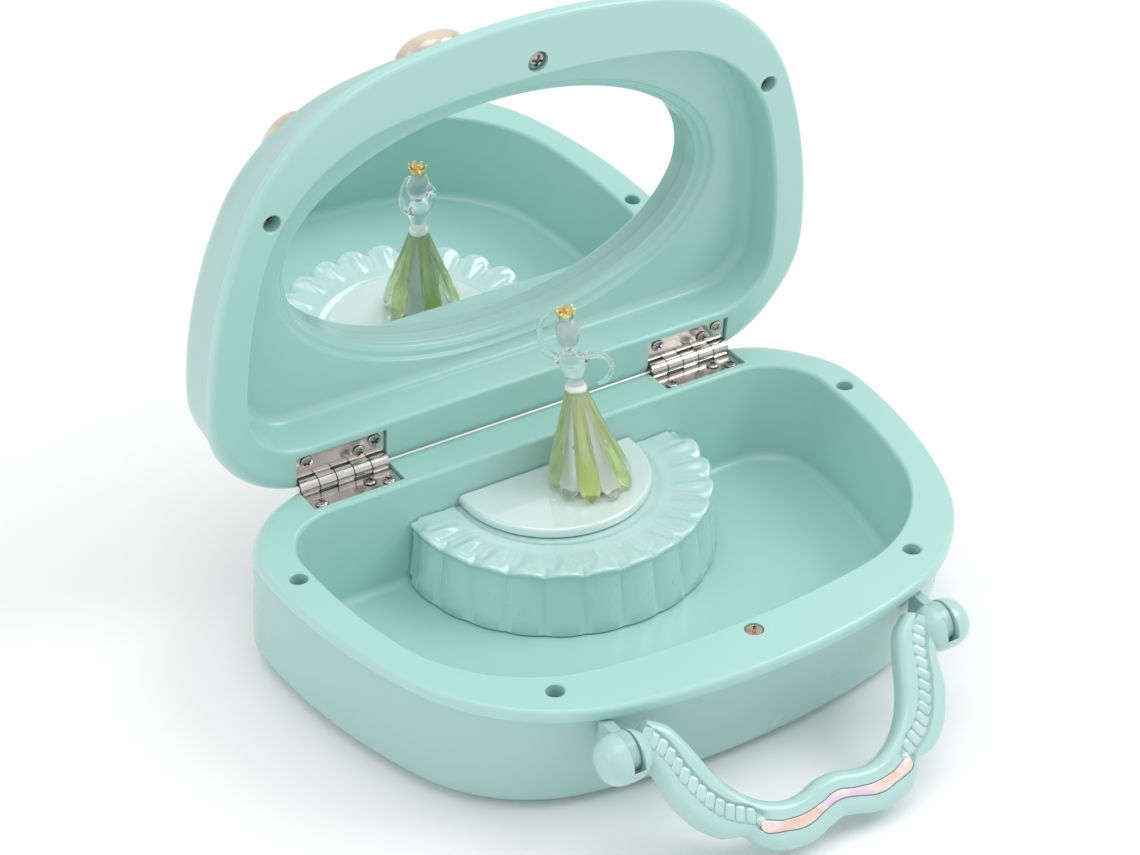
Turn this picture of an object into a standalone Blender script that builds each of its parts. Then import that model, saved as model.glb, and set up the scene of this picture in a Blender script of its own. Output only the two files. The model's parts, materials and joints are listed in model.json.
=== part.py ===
"""Wind-up music box: a clam-shell case with a mirrored lid, a swing handle and a turning figure.

Metres, +Z up. The origin is the middle of the case's flat underside, +X runs along the
lid's hinges and +Y points to the back. The lid's pieces are modelled shut and the
handle's pieces level, and both are then swung to where they rest.
"""

import math

import bmesh
import bpy
from mathutils import Matrix, Vector

MM = 0.001
GAP = 0.3 * MM

# Case: plan of the rim, height and walls
RIM_Z = 36.0 * MM
WALL = 1.8 * MM
FLANGE = 3.5 * MM
FLANGE_LIP = 0.8 * MM
RIM_PLAN = {
    "back_y": 60.9 * MM,
    "half_back": 58.9 * MM,
    "back_corner": 29.5 * MM,
    "side": 146.6 * MM,
    "side_turn": 0.388,
    "front_corner": 54.4 * MM,
    "front_bow": 180.8 * MM,
}
CAVITY_PLAN = {
    "back_y": 45.9 * MM,
    "half_back": 62.1 * MM,
    "back_corner": 16.0 * MM,
    "side": 154.3 * MM,
    "side_turn": 0.26,
    "front_corner": 43.6 * MM,
    "front_bow": 252.2 * MM,
}
EDGE_ROUND = 1.2 * MM
BACK_EDGE_ROUND = 5.2 * MM
CASE_BOTTOM_ROUND = 7.0 * MM
CASE_DRAW_IN = 17.0 * MM
CASE_STRETCH = (1.227, 1.21)
CASE_SHIFT_Y = 1.4 * MM
CAVITY_DEPTH = 29.5 * MM
CAVITY_DRAFT = 1.2 * MM
LINER_WALL = 1.5 * MM
RIM_HOLE_R = 2.25 * MM
RIM_HOLE_DEPTH = 8.0 * MM
RIM_HOLES = ((82.0 * MM, 24.6 * MM), (51.2 * MM, -43.4 * MM))
SLEEVE_R = 3.0 * MM
SLEEVE_FOOT_Z = RIM_Z - RIM_HOLE_DEPTH - 1.2 * MM
CATCH_Y = -49.0 * MM

# Lid
HINGE_Y = 57.9 * MM
HINGE_Z = RIM_Z + GAP / 2
LID_Z = RIM_Z + GAP
LID_OPEN = math.radians(84.3)
LID_HEIGHT = 25.0 * MM
LID_CROWN = 2.0 * MM
LID_TOP_ROUND = 9.0 * MM
LID_FLANGE = 3.0 * MM
LID_DRAW_IN = 4.2 * MM
LID_STRETCH = (1.032, 0.934)
LID_SHIFT_Y = 3.74 * MM
PANEL_DEPTH = 12.5 * MM
MIRROR_DEPTH = 20.8 * MM
MIRROR_SLOPE = -0.021
MIRROR_Y = 4.2 * MM
MIRROR_HALF = (60.8 * MM, 34.6 * MM)
LID_HOLE = (70.5 * MM, -24.0 * MM)
LID_SLEEVE = 4.9 * MM
LID_SLEEVE_R = 2.85 * MM
GEM_SWING = math.radians(45)
GEMS = {
    "lid_gem_large": ((-17.0 * MM, -44.6 * MM, 22.4 * MM), 9.2 * MM, math.radians(6)),
    "lid_gem_small": ((-56.5 * MM, -32.5 * MM, 22.6 * MM), 6.6 * MM, math.radians(38)),
}

# Hinges
HINGE_X = 53.0 * MM
HINGE_LENGTH = 25.0 * MM
KNUCKLE_R = 2.4 * MM
PIN_R = 0.9 * MM
LEAF_REACH = 9.4 * MM
LEAF_LEVEL = 1.15 * MM
LEAF_THICK = 0.8 * MM
LEAF_SCREWS = ((-9.6 * MM, 7.2 * MM), (9.6 * MM, 7.2 * MM), (5.2 * MM, 5.0 * MM))

# Stage
STAGE_Y = 40.9 * MM
STAGE_R = 41.2 * MM
STAGE_FOOT_R = 43.0 * MM
STAGE_BACK_Y = 44.95 * MM
OPENING_TOP = 22.6 * MM
RUFFLE_Z = 24.2 * MM
SCALLOPS = 13
PLATFORM_Y = 42.2 * MM
PLATFORM_R = 26.4 * MM
PLATFORM_Z = RIM_Z - 8.7 * MM

# Handle
PIVOT_Y = -62.2 * MM
PIVOT_Z = 28.5 * MM
PIVOT_X = 44.5 * MM
HANDLE_REST = math.radians(44.0)
HANDLE_HALF_THICK = 3.2 * MM
BOSS_R = 6.1 * MM
BOSS_HALF_WIDTH = 6.6 * MM
BOSS_X = 45.4 * MM
BOSS_AHEAD = 1.0 * MM
LUG_HALF = 1.3 * MM
LUG_R = 3.6 * MM
HANDLE_OUTER = (
    (43.2, 0.0), (41.0, 4.5), (39.6, 9.4), (38.9, 14.4), (37.0, 18.6), (34.3, 22.8), (29.7, 26.6), (24.6, 28.0),
    (23.0, 30.2), (19.3, 33.4), (14.2, 35.0), (8.8, 35.0), (4.0, 33.7), (0.0, 32.8),
)
HANDLE_INNER = (
    (3.0, 22.6), (7.0, 23.7), (11.8, 24.0), (16.6, 22.6), (21.2, 19.6), (24.8, 15.4), (27.4, 10.4), (29.5, 4.7),
    (32.6, -1.6), (37.0, -4.8),
)
INLAY_UPPER = ((21.6, 27.0), (15.0, 27.9), (10.0, 28.3), (5.0, 27.6), (0.0, 26.5))
INLAY_LOWER = ((4.6, 29.9), (9.6, 31.3), (14.4, 30.9))

# Figure and the drive below it
FIGURE_X = 6.4 * MM
FIGURE_Y = 32.3 * MM
FIGURE_FACING = math.radians(-31.7)
HEM_R = 11.7 * MM
WAIST_Z = 29.6 * MM
PETALS = 10
KEY_RECESS_R = 13.0 * MM
KEY_RECESS_DEPTH = 6.4 * MM
BED_Z = 8.2 * MM
BED_THICK = 1.3 * MM
BED_SCREWS = ((-22.0 * MM, 44.0 * MM), (17.0 * MM, 48.8 * MM))
CROWN_TEETH = 36
PINION_TEETH = 12
WORM_WHEEL_TEETH = 16
TOOTH_PITCH = 2.0 * MM
CROWN_R = CROWN_TEETH * TOOTH_PITCH / (2 * math.pi)
PINION_R = PINION_TEETH * TOOTH_PITCH / (2 * math.pi)
CROWN_TOP = 12.4 * MM
SHAFT_Z = CROWN_TOP - 0.5 * MM + PINION_R
CYLINDER_R = 4.6 * MM
WORM_WHEEL_R = 4.5 * MM
WORM_LEAD = 2 * math.pi * WORM_WHEEL_R / WORM_WHEEL_TEETH
WORM_PITCH_R = 1.55 * MM
FLY_X = FIGURE_X + WORM_WHEEL_R + WORM_PITCH_R
WORM_Y = 48.0 * MM
COMB_Z = SHAFT_Z - 0.3 * MM
COMB_SCREWS = (-22.0 * MM, -12.5 * MM)
COMB_TEETH = 12


# ---------------------------------------------------------------- scene and materials

def clear_scene():
    for obj in list(bpy.data.objects):
        bpy.data.objects.remove(obj)


def make_collection(name):
    made = bpy.data.collections.new(name)
    bpy.context.scene.collection.children.link(made)
    return made


def make_material(name, colour, roughness, metallic=0.0):
    made = bpy.data.materials.new(name)
    made.use_nodes = True
    shader = made.node_tree.nodes["Principled BSDF"]
    shader.inputs["Base Color"].default_value = (*colour, 1.0)
    shader.inputs["Roughness"].default_value = roughness
    shader.inputs["Metallic"].default_value = metallic
    return made


clear_scene()
PARTS = make_collection("wind_up_music_box")
CUTTERS = make_collection("cutters")
MINT = make_material("mint_plastic", (0.42, 0.72, 0.65), 0.25)
PEARL = make_material("pearl_mint", (0.55, 0.78, 0.74), 0.2)
MIRROR = make_material("mirror_glass", (0.9, 0.92, 0.92), 0.03, 1.0)
STEEL = make_material("nickel_steel", (0.62, 0.6, 0.57), 0.25, 1.0)
BRASS = make_material("brass", (0.72, 0.55, 0.28), 0.3, 1.0)
IRON = make_material("cast_zinc", (0.5, 0.5, 0.5), 0.45, 1.0)
MAGNET = make_material("magnet", (0.35, 0.35, 0.37), 0.3, 1.0)
CLEAR = make_material("clear_acrylic", (0.85, 0.9, 0.88), 0.05)
GREEN = make_material("green_acrylic", (0.72, 0.85, 0.35), 0.1)
GOLD = make_material("gold_plate", (0.83, 0.62, 0.22), 0.2, 1.0)
GEM = make_material("beige_gem", (0.8, 0.7, 0.6), 0.15)
INLAY = make_material("pink_foil", (0.85, 0.68, 0.75), 0.15, 0.3)


# ---------------------------------------------------------------- shapes

def add_mesh(name, bm, material=None):
    """An object from this bmesh: a part if it has a material, otherwise a cutter or a piece to join."""
    bmesh.ops.recalc_face_normals(bm, faces=bm.faces)
    mesh = bpy.data.meshes.new(name)
    bm.to_mesh(mesh)
    bm.free()
    obj = bpy.data.objects.new(name, mesh)
    if material is None:
        CUTTERS.objects.link(obj)
        obj.hide_render = True
        obj.display_type = "WIRE"
    else:
        PARTS.objects.link(obj)
        mesh.materials.append(material)
        mesh.shade_smooth()
        mesh.set_sharp_from_angle(angle=math.radians(35))
    return obj


def box(name, low, high, material=None):
    bm = bmesh.new()
    bmesh.ops.create_cube(bm, size=1.0)
    size = [b - a for a, b in zip(low, high)]
    middle = Vector([(a + b) / 2 for a, b in zip(low, high)])
    bmesh.ops.scale(bm, vec=size, verts=bm.verts)
    bmesh.ops.translate(bm, vec=middle, verts=bm.verts)
    return add_mesh(name, bm, material)


def rod(name, start, end, radius, sides=16, material=None, end_radius=None, turn=0.0):
    """A cylinder or cone from start to end."""
    start = Vector(start)
    along = Vector(end) - start
    bm = bmesh.new()
    bmesh.ops.create_cone(
        bm,
        cap_ends=True,
        segments=sides,
        radius1=radius,
        radius2=radius if end_radius is None else end_radius,
        depth=along.length,
    )
    lay = Matrix.Translation(start + along / 2) @ along.to_track_quat("Z", "Y").to_matrix().to_4x4()
    bmesh.ops.transform(bm, matrix=lay @ Matrix.Rotation(turn, 4, "Z"), verts=bm.verts)
    return add_mesh(name, bm, material)


def ball(name, centre, radii, material=None, segments=12, rings=8):
    bm = bmesh.new()
    bmesh.ops.create_uvsphere(bm, u_segments=segments, v_segments=rings, radius=1.0)
    bmesh.ops.scale(bm, vec=radii, verts=bm.verts)
    bmesh.ops.translate(bm, vec=centre, verts=bm.verts)
    return add_mesh(name, bm, material)


def loft(name, rings, material=None):
    """A closed solid through rings of equally many points, with flat ends."""
    bm = bmesh.new()
    rows = [[bm.verts.new(point) for point in ring] for ring in rings]
    for lower, upper in zip(rows, rows[1:]):
        for i in range(len(lower)):
            j = (i + 1) % len(lower)
            bm.faces.new((lower[i], lower[j], upper[j], upper[i]))
    bm.faces.new(rows[0])
    bm.faces.new(rows[-1])
    return add_mesh(name, bm, material)


def combine(target, operation, *others):
    for other in others:
        step = target.modifiers.new(other.name, "BOOLEAN")
        step.operation = operation
        step.solver = "EXACT"
        step.object = other
    return target


def cut(target, *others):
    return combine(target, "DIFFERENCE", *others)


def join(target, *others):
    return combine(target, "UNION", *others)


def hang(axis, *objects):
    """Ties objects, and whatever cuts or joins them, to an empty on their joint's axis."""
    for obj in objects:
        obj.parent = axis
        obj.matrix_parent_inverse = Matrix.Translation(-axis.location)
        hang(axis, *[step.object for step in obj.modifiers if step.type == "BOOLEAN"])


def joint_axis(name, location):
    axis = bpy.data.objects.new(name, None)
    axis.empty_display_size = 0.01
    axis.location = location
    PARTS.objects.link(axis)
    return axis


# ---------------------------------------------------------------- plans and sections

def plan(spec):
    """Points of a closed outline of tangent arcs, clockwise from the middle of the back."""
    x = spec["half_back"]
    y = spec["back_y"]
    heading = 0.0
    half = [Vector((0, y)), Vector((x / 2, y)), Vector((x, y))]

    def arc(x, y, heading, radius, turn, steps):
        for i in range(1, steps + 1):
            now = heading + turn * i / steps
            across = radius * (math.sin(now) - math.sin(heading))
            back = radius * (math.cos(now) - math.cos(heading))
            half.append(Vector((x + across, y + back)))
        return half[-1].x, half[-1].y, heading + turn

    x, y, heading = arc(x, y, heading, spec["back_corner"], math.pi / 2, 7)
    x, y, heading = arc(x, y, heading, spec["side"], spec["side_turn"], 4)
    sine = (x - spec["front_corner"] * math.sin(heading)) / (spec["front_bow"] - spec["front_corner"])
    x, y, heading = arc(x, y, heading, spec["front_corner"], math.pi - math.asin(sine) - heading, 6)
    arc(x, y, heading, spec["front_bow"], math.pi - heading, 5)
    half[-1].x = 0.0
    return half + [Vector((-point.x, point.y)) for point in reversed(half[1:-1])]


def inset(points, distance):
    """The outline moved inwards, by one distance or by a function of the point."""
    moved = []
    for i, point in enumerate(points):
        before = (point - points[i - 1]).normalized()
        after = (points[(i + 1) % len(points)] - point).normalized()
        along = (before + after).normalized()
        inward = Vector((along.y, -along.x))
        by = distance(point) if callable(distance) else distance
        moved.append(point + inward * by / max(0.5, along.dot(before)))
    return moved


def stretched(points, factors, shift_y):
    return [Vector((p.x * factors[0], p.y * factors[1] + shift_y)) for p in points]


def between(first, second, share):
    return [a.lerp(b, share) for a, b in zip(first, second)]


def ring(points, z):
    return [Vector((p.x, p.y, z)) for p in points]


def edge_round(point):
    """How far the rim's outer edge is rounded: little in front, and enough behind for the lid to swing."""
    share = min(1.0, max(0.0, (point.y - 25 * MM) / (25 * MM)))
    return EDGE_ROUND + (BACK_EDGE_ROUND - EDGE_ROUND) * share * share * (3 - 2 * share)


def edge_ring(depth):
    """The rim's outline this far below its top face, on its rounded edge."""

    def drawn_in(point):
        radius = edge_round(point)
        if depth >= radius:
            return 0.0
        return radius - math.sqrt(radius**2 - (radius - depth) ** 2)

    return inset(RIM, drawn_in)


RIM = plan(RIM_PLAN)
CAVITY = plan(CAVITY_PLAN)
CASE_LOWER = stretched(inset(RIM, CASE_DRAW_IN), CASE_STRETCH, CASE_SHIFT_Y)
LID_UPPER = stretched(inset(RIM, LID_DRAW_IN), LID_STRETCH, LID_SHIFT_Y)
MIRROR_CENTRE = Vector((0.0, MIRROR_Y))


def case_section(z):
    """Outline of the case's outer face at height z."""
    share = (RIM_Z - z) / (RIM_Z - CASE_BOTTOM_ROUND)
    return inset(between(RIM, CASE_LOWER, min(1.0, share)), FLANGE_LIP * (1 - min(1.0, share)))


def lid_section(height):
    """Outline of the lid's outer face at this height above its mating face."""
    share = height / (LID_HEIGHT - LID_TOP_ROUND)
    return inset(between(RIM, LID_UPPER, min(1.0, share)), FLANGE_LIP * (1 - min(1.0, share)))


def ellipse_ring(half, z, slope=0.0):
    """Points on the mirror's oval, each in the direction of one of the cavity outline's points."""
    points = []
    for point in CAVITY:
        angle = math.atan2((point.y - MIRROR_Y) / half[1], point.x / half[0])
        reach = half[1] * math.sin(angle)
        points.append(Vector((half[0] * math.cos(angle), MIRROR_Y + reach, z + slope * reach)))
    return points


def mirrored(value):
    """Left and right names with their sign."""
    return (("left", -value), ("right", value))


# ---------------------------------------------------------------- case

def rounded_foot(section, radius, thickness, base_z, sign):
    """Rings that turn a wall into a flat end: quarter circle of this radius, less the thickness."""
    rings = []
    inner = radius - thickness
    for i in range(1, 5):
        angle = math.pi / 2 * i / 4
        points = inset(section, thickness + inner * (1 - math.cos(angle)))
        rings.append(ring(points, base_z - sign * inner * math.sin(angle)))
    return rings


def case_shell():
    top = RIM_Z - FLANGE - GAP
    round_z = CASE_BOTTOM_ROUND
    levels = (round_z, round_z + 9 * MM, top)
    outer = [ring(case_section(z), z) for z in levels]
    inner = [ring(inset(case_section(z), WALL), z) for z in levels]
    foot_out = rounded_foot(case_section(round_z), CASE_BOTTOM_ROUND, 0.0, round_z, 1)
    foot_in = rounded_foot(case_section(round_z), CASE_BOTTOM_ROUND, WALL, round_z, 1)
    shell = loft("case_shell", list(reversed(foot_out)) + outer, MINT)
    rim = ring(inset(case_section(top), WALL), top + 1 * MM)
    hollow = loft("case_hollow", list(reversed(foot_in)) + inner + [rim])
    centre = (FIGURE_X, FIGURE_Y)
    cup_top = KEY_RECESS_DEPTH + 1.3 * MM
    cut(hollow, rod("key_cup", (*centre, 0), (*centre, cup_top), KEY_RECESS_R + 1.3 * MM, 28))
    for i, (x, y) in enumerate(BED_SCREWS):
        cut(hollow, rod(f"bed_boss_{i}", (x, y, 0), (x, y, BED_Z - GAP), 2.6 * MM, 10))
    for name, x, y in rim_posts():
        cut(hollow, rod(f"post_{name}", (x, y, 0), (x, y, SLEEVE_FOOT_Z - GAP), 2.5 * MM, 12))
    cut(shell, hollow)
    for side, x in mirrored(PIVOT_X):
        tongue = rod(
            f"lug_{side}", (x - LUG_HALF, PIVOT_Y, PIVOT_Z), (x + LUG_HALF, PIVOT_Y, PIVOT_Z), LUG_R, 14
        )
        root = box(
            f"lug_root_{side}",
            (x - LUG_HALF, PIVOT_Y, PIVOT_Z - LUG_R * 0.98),
            (x + LUG_HALF, -50.6 * MM, PIVOT_Z + LUG_R * 0.98),
        )
        join(shell, tongue, root)
    for name, x, y in rim_posts():
        cut(shell, rod(f"sleeve_room_{name}", (x, y, SLEEVE_FOOT_Z - GAP), (x, y, RIM_Z), SLEEVE_R + GAP, 12))
        cut(shell, rod(f"pilot_{name}", (x, y, 12 * MM), (x, y, RIM_Z), 1.2 * MM, 8))
    cut(shell, rod("key_recess", (*centre, -1 * MM), (*centre, KEY_RECESS_DEPTH), KEY_RECESS_R, 28))
    cut(shell, rod("arbor_hole", (*centre, 0), (*centre, 12 * MM), 1.8 * MM, 12))
    for i, (x, y) in enumerate(BED_SCREWS):
        cut(shell, rod(f"bed_pilot_{i}", (x, y, 3.6 * MM), (x, y, 12 * MM), 0.95 * MM, 8))
    for side, x in mirrored(PIVOT_X):
        ends = [(x + reach, PIVOT_Y, PIVOT_Z) for reach in (-5 * MM, 5 * MM)]
        cut(shell, rod(f"lug_bore_{side}", *ends, 1.45 * MM, 12))
    return shell


def rim_posts():
    return [
        (f"{row}_{side}", sign * x, y)
        for row, (x, y) in zip(("back", "front"), RIM_HOLES)
        for side, sign in (("left", -1), ("right", 1))
    ]


def hinge_pocket(name, x, z_sign, mating_z):
    """Cutters for a leaf's recess in a flange, for its barrel, and for its screws' shanks."""
    reach = LEAF_REACH + 0.4 * MM
    half = HINGE_LENGTH / 2 + 0.4 * MM
    floor = HINGE_Z + z_sign * (LEAF_LEVEL + LEAF_THICK + 0.25 * MM)
    trench = HINGE_Z + z_sign * (KNUCKLE_R + GAP)
    beyond = mating_z - z_sign * 3 * MM
    leaf = box(
        f"{name}_leaf_room",
        (x - half, HINGE_Y - reach, min(floor, beyond)),
        (x + half, HINGE_Y + 6 * MM, max(floor, beyond)),
    )
    barrel = box(
        f"{name}_barrel_room",
        (x - half, HINGE_Y - 3.1 * MM, min(trench, beyond)),
        (x + half, HINGE_Y + 6 * MM, max(trench, beyond)),
    )
    cutters = [leaf, barrel]
    for i, (dx, back) in enumerate(LEAF_SCREWS):
        start = (x + dx, HINGE_Y - back, HINGE_Z)
        end = (x + dx, HINGE_Y - back, HINGE_Z + z_sign * 7.0 * MM)
        cutters.append(rod(f"{name}_screw_room_{i}", start, end, 1.1 * MM, 8))
    return cutters


def tray_liner():
    top = RIM_Z
    floor_z = RIM_Z - CAVITY_DEPTH
    foot = inset(CAVITY, CAVITY_DRAFT)
    outer = inset(CAVITY, -LINER_WALL)
    rings = [
        ring(inset(foot, 1.0 * MM - LINER_WALL), floor_z - LINER_WALL),
        ring(inset(foot, -LINER_WALL), floor_z + 0.5 * MM),
        ring(outer, top - FLANGE),
    ]
    for depth in (3.5, 3.1, 1.2, 0.6, 0.16, 0.0):
        shrink = 0.4 * MM if depth == 3.5 else 0.0
        rings.append(ring(inset(edge_ring(depth * MM), shrink), top - depth * MM))
    rings += [
        ring(inset(CAVITY, -0.8 * MM), top),
        ring(inset(CAVITY, -0.25 * MM), top - 0.25 * MM),
        ring(CAVITY, top - 0.8 * MM),
        ring(foot, floor_z + 2.0 * MM),
        ring(inset(foot, 0.6 * MM), floor_z + 0.6 * MM),
        ring(inset(foot, 2.0 * MM), floor_z),
    ]
    liner = loft("tray_liner", rings, MINT)
    for name, x, y in rim_posts():
        join(liner, rod(f"sleeve_{name}", (x, y, SLEEVE_FOOT_Z), (x, y, top - 1.0 * MM), SLEEVE_R, 12))
    for side, x in mirrored(HINGE_X):
        half = HINGE_LENGTH / 2
        pad = box(
            f"hinge_pad_{side}",
            (x - half, HINGE_Y - 9.4 * MM, 28.6 * MM),
            (x + half, HINGE_Y - 2.6 * MM, top - FLANGE + 0.4 * MM),
        )
        join(liner, pad)
    for name, x, y in rim_posts():
        cut(liner, rod(f"rim_hole_{name}", (x, y, top - RIM_HOLE_DEPTH), (x, y, top + 1 * MM), RIM_HOLE_R, 14))
        cut(liner, rod(f"web_hole_{name}", (x, y, 20 * MM), (x, y, top), 1.3 * MM, 8))
    for side, x in mirrored(HINGE_X):
        cut(liner, *hinge_pocket(f"case_{side}", x, -1, top))
    cut(liner, rod("catch_pocket", (0, CATCH_Y, top - 2.6 * MM), (0, CATCH_Y, top + 1 * MM), 2.35 * MM, 16))
    cut(liner, rod("movement_opening", (0, STAGE_Y, 1 * MM), (0, STAGE_Y, OPENING_TOP), 38.5 * MM, 40))
    return liner


def screw(name, at, towards, head_r, head_h, shank_r, length, material=STEEL):
    """A fastener with its head's underside at this point and its shank going the way given."""
    at = Vector(at)
    towards = Vector(towards).normalized()
    bm = bmesh.new()
    profile = (
        (shank_r, length), (shank_r, 0.0), (head_r, 0.0),
        (head_r * 0.95, -head_h * 0.6), (head_r * 0.6, -head_h),
    )
    turn = towards.to_track_quat("Z", "Y").to_matrix()
    sides = 10
    rows = []
    for radius, depth in profile:
        row = []
        for i in range(sides):
            angle = 2 * math.pi * i / sides
            spot = Vector((radius * math.cos(angle), radius * math.sin(angle), depth))
            row.append(bm.verts.new(at + turn @ spot))
        rows.append(row)
    for lower, upper in zip(rows, rows[1:]):
        for i in range(sides):
            j = (i + 1) % sides
            bm.faces.new((lower[i], lower[j], upper[j], upper[i]))
    bm.faces.new(rows[0])
    bm.faces.new(rows[-1])
    return add_mesh(name, bm, material)


def case_fasteners():
    seat = SLEEVE_FOOT_Z + 1.2 * MM + 0.2 * MM
    for name, x, y in rim_posts():
        screw(f"liner_screw_{name}", (x, y, seat), (0, 0, -1), 1.95 * MM, 1.3 * MM, 0.9 * MM, 7 * MM)
    rod("catch_magnet", (0, CATCH_Y, RIM_Z - 2.3 * MM), (0, CATCH_Y, RIM_Z - 0.2 * MM), 2.05 * MM, 16, MAGNET)


# ---------------------------------------------------------------- stage

def half_ring(radius_at, z_at, back_y, centre_y, steps):
    """Points round the front half of a circle, from its left end at the back to its right end."""
    points = []
    for i in range(steps + 1):
        share = i / steps
        angle = math.pi * (1 + share)
        radius = radius_at(share)
        points.append(Vector((radius * math.cos(angle), centre_y + radius * math.sin(angle), z_at(share))))
    left = Vector((points[0].x, back_y, points[0].z))
    right = Vector((points[-1].x, back_y, points[-1].z))
    return [left] + points + [right]


def scallop(share):
    """One in the middle of a scallop and zero at the notch between two."""
    return abs(math.sin(math.pi * SCALLOPS * share))


def stage_drum():
    """The hollow half-round stage, with fluted walls and a ruffled top."""
    steps = SCALLOPS * 6
    foot_z = RIM_Z - CAVITY_DEPTH + GAP

    def level(radius, z, flute=0.0, ripple=0.0):
        return half_ring(
            lambda s: radius + flute * scallop(s),
            lambda s: z + ripple * scallop(s),
            STAGE_BACK_Y,
            STAGE_Y,
            steps,
        )

    rings = [
        level(STAGE_FOOT_R - 1.6 * MM, foot_z),
        level(STAGE_FOOT_R - 0.3 * MM, foot_z, 0.4 * MM),
        level(STAGE_R - 0.6 * MM, RUFFLE_Z - 1.4 * MM, 0.7 * MM, 0.9 * MM),
        level(STAGE_R - 0.9 * MM, RUFFLE_Z - 0.6 * MM, 0.9 * MM, 1.7 * MM),
        level(STAGE_R - 1.9 * MM, RUFFLE_Z - 0.1 * MM, 0.9 * MM, 1.5 * MM),
        level(PLATFORM_R + 3.4 * MM, RUFFLE_Z + 0.2 * MM, 0.0, 0.3 * MM),
        level(PLATFORM_R + 1.6 * MM, RUFFLE_Z),
        level(22.5 * MM, RUFFLE_Z),
        level(22.5 * MM, RUFFLE_Z - 1.5 * MM),
        level(STAGE_R - 2.6 * MM, RUFFLE_Z - 2.4 * MM),
    ]
    bm = bmesh.new()
    rows = [[bm.verts.new(point) for point in points] for points in rings]
    count = len(rows)
    for k in range(count):
        lower = rows[k]
        upper = rows[(k + 1) % count]
        for i in range(len(lower) - 1):
            bm.faces.new((lower[i], lower[i + 1], upper[i + 1], upper[i]))
    bm.faces.new([row[0] for row in rows])
    bm.faces.new([row[-1] for row in rows])
    drum = add_mesh("stage_drum", bm, PEARL)
    foot = box("foot_relief", (-48 * MM, STAGE_BACK_Y - 2.5 * MM, 0), (48 * MM, 50 * MM, foot_z + 2.2 * MM))
    draft = box("draft_relief", (-48 * MM, STAGE_BACK_Y - 0.6 * MM, 0), (48 * MM, 50 * MM, 20.0 * MM))
    return cut(drum, foot, draft)


def stage_platform():
    """The raised half-moon floor that the figure stands on, hollowed over the turning magnet."""
    steps = 26

    def level(drawn_in, z):
        return half_ring(lambda s: PLATFORM_R - drawn_in, lambda s: z, STAGE_BACK_Y, PLATFORM_Y, steps)

    low = RUFFLE_Z + GAP
    rings = [
        level(0.5 * MM, low), level(0.1 * MM, low + 0.5 * MM), level(0.0, PLATFORM_Z - 0.9 * MM),
        level(0.3 * MM, PLATFORM_Z - 0.3 * MM), level(1.0 * MM, PLATFORM_Z),
    ]
    platform = loft("stage_platform", rings, PEARL)
    start = (FIGURE_X, FIGURE_Y, 20 * MM)
    return cut(platform, rod("magnet_room", start, (FIGURE_X, FIGURE_Y, PLATFORM_Z - 1.5 * MM), 9.2 * MM, 24))


# ---------------------------------------------------------------- hinges

def hinge_leaf(name, x, z_sign, knuckles):
    """A leaf with its knuckles round the hinge line. Knuckles are counted from the left, of five."""
    half = HINGE_LENGTH / 2
    near = HINGE_Z + z_sign * LEAF_LEVEL
    far = HINGE_Z + z_sign * (LEAF_LEVEL + LEAF_THICK)
    back = HINGE_Y - KNUCKLE_R - GAP
    low = (x - half, HINGE_Y - LEAF_REACH, min(near, far))
    leaf = box(name, low, (x + half, back, max(near, far)), STEEL)
    pitch = HINGE_LENGTH / 5
    for k in knuckles:
        left = x - half + k * pitch + GAP / 2
        right = left + pitch - GAP
        low = (left + 0.15 * MM, back - 0.7 * MM, min(near, far) + 0.08 * MM)
        web = box(f"{name}_web_{k}", low, (right - 0.15 * MM, HINGE_Y - 0.3 * MM, max(near, far) - 0.08 * MM))
        barrel = rod(f"{name}_knuckle_{k}", (left, HINGE_Y, HINGE_Z), (right, HINGE_Y, HINGE_Z), KNUCKLE_R, 14)
        join(leaf, web, barrel)
    bore = rod(
        f"{name}_bore", (x - 20 * MM, HINGE_Y, HINGE_Z), (x + 20 * MM, HINGE_Y, HINGE_Z), PIN_R + 0.25 * MM, 10
    )
    cut(leaf, bore)
    for i, (dx, reach) in enumerate(LEAF_SCREWS):
        spot = (x + dx, HINGE_Y - reach)
        cut(leaf, rod(f"{name}_hole_{i}", (*spot, near + 2 * MM), (*spot, near - 3 * MM), 1.15 * MM, 8))
    return leaf


def leaf_screws(name, x, z_sign):
    seat = HINGE_Z + z_sign * (LEAF_LEVEL - 0.2 * MM)
    made = []
    for i, (dx, reach) in enumerate(LEAF_SCREWS, 1):
        at = (x + dx, HINGE_Y - reach, seat)
        made.append(screw(f"{name}_screw_{i}", at, (0, 0, z_sign), 1.75 * MM, 0.6 * MM, 0.75 * MM, 4.8 * MM))
    return made


def hinges(lid_axis):
    for side, x in mirrored(HINGE_X):
        hinge_leaf(f"hinge_leaf_case_{side}", x, -1, (0, 2, 4))
        lid_leaf = hinge_leaf(f"hinge_leaf_lid_{side}", x, 1, (1, 3))
        half = HINGE_LENGTH / 2 + 0.1 * MM
        rod(f"hinge_pin_{side}", (x - half, HINGE_Y, HINGE_Z), (x + half, HINGE_Y, HINGE_Z), PIN_R, 10, STEEL)
        leaf_screws(f"hinge_case_{side}", x, -1)
        hang(lid_axis, lid_leaf, *leaf_screws(f"hinge_lid_{side}", x, 1))


# ---------------------------------------------------------------- lid

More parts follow.
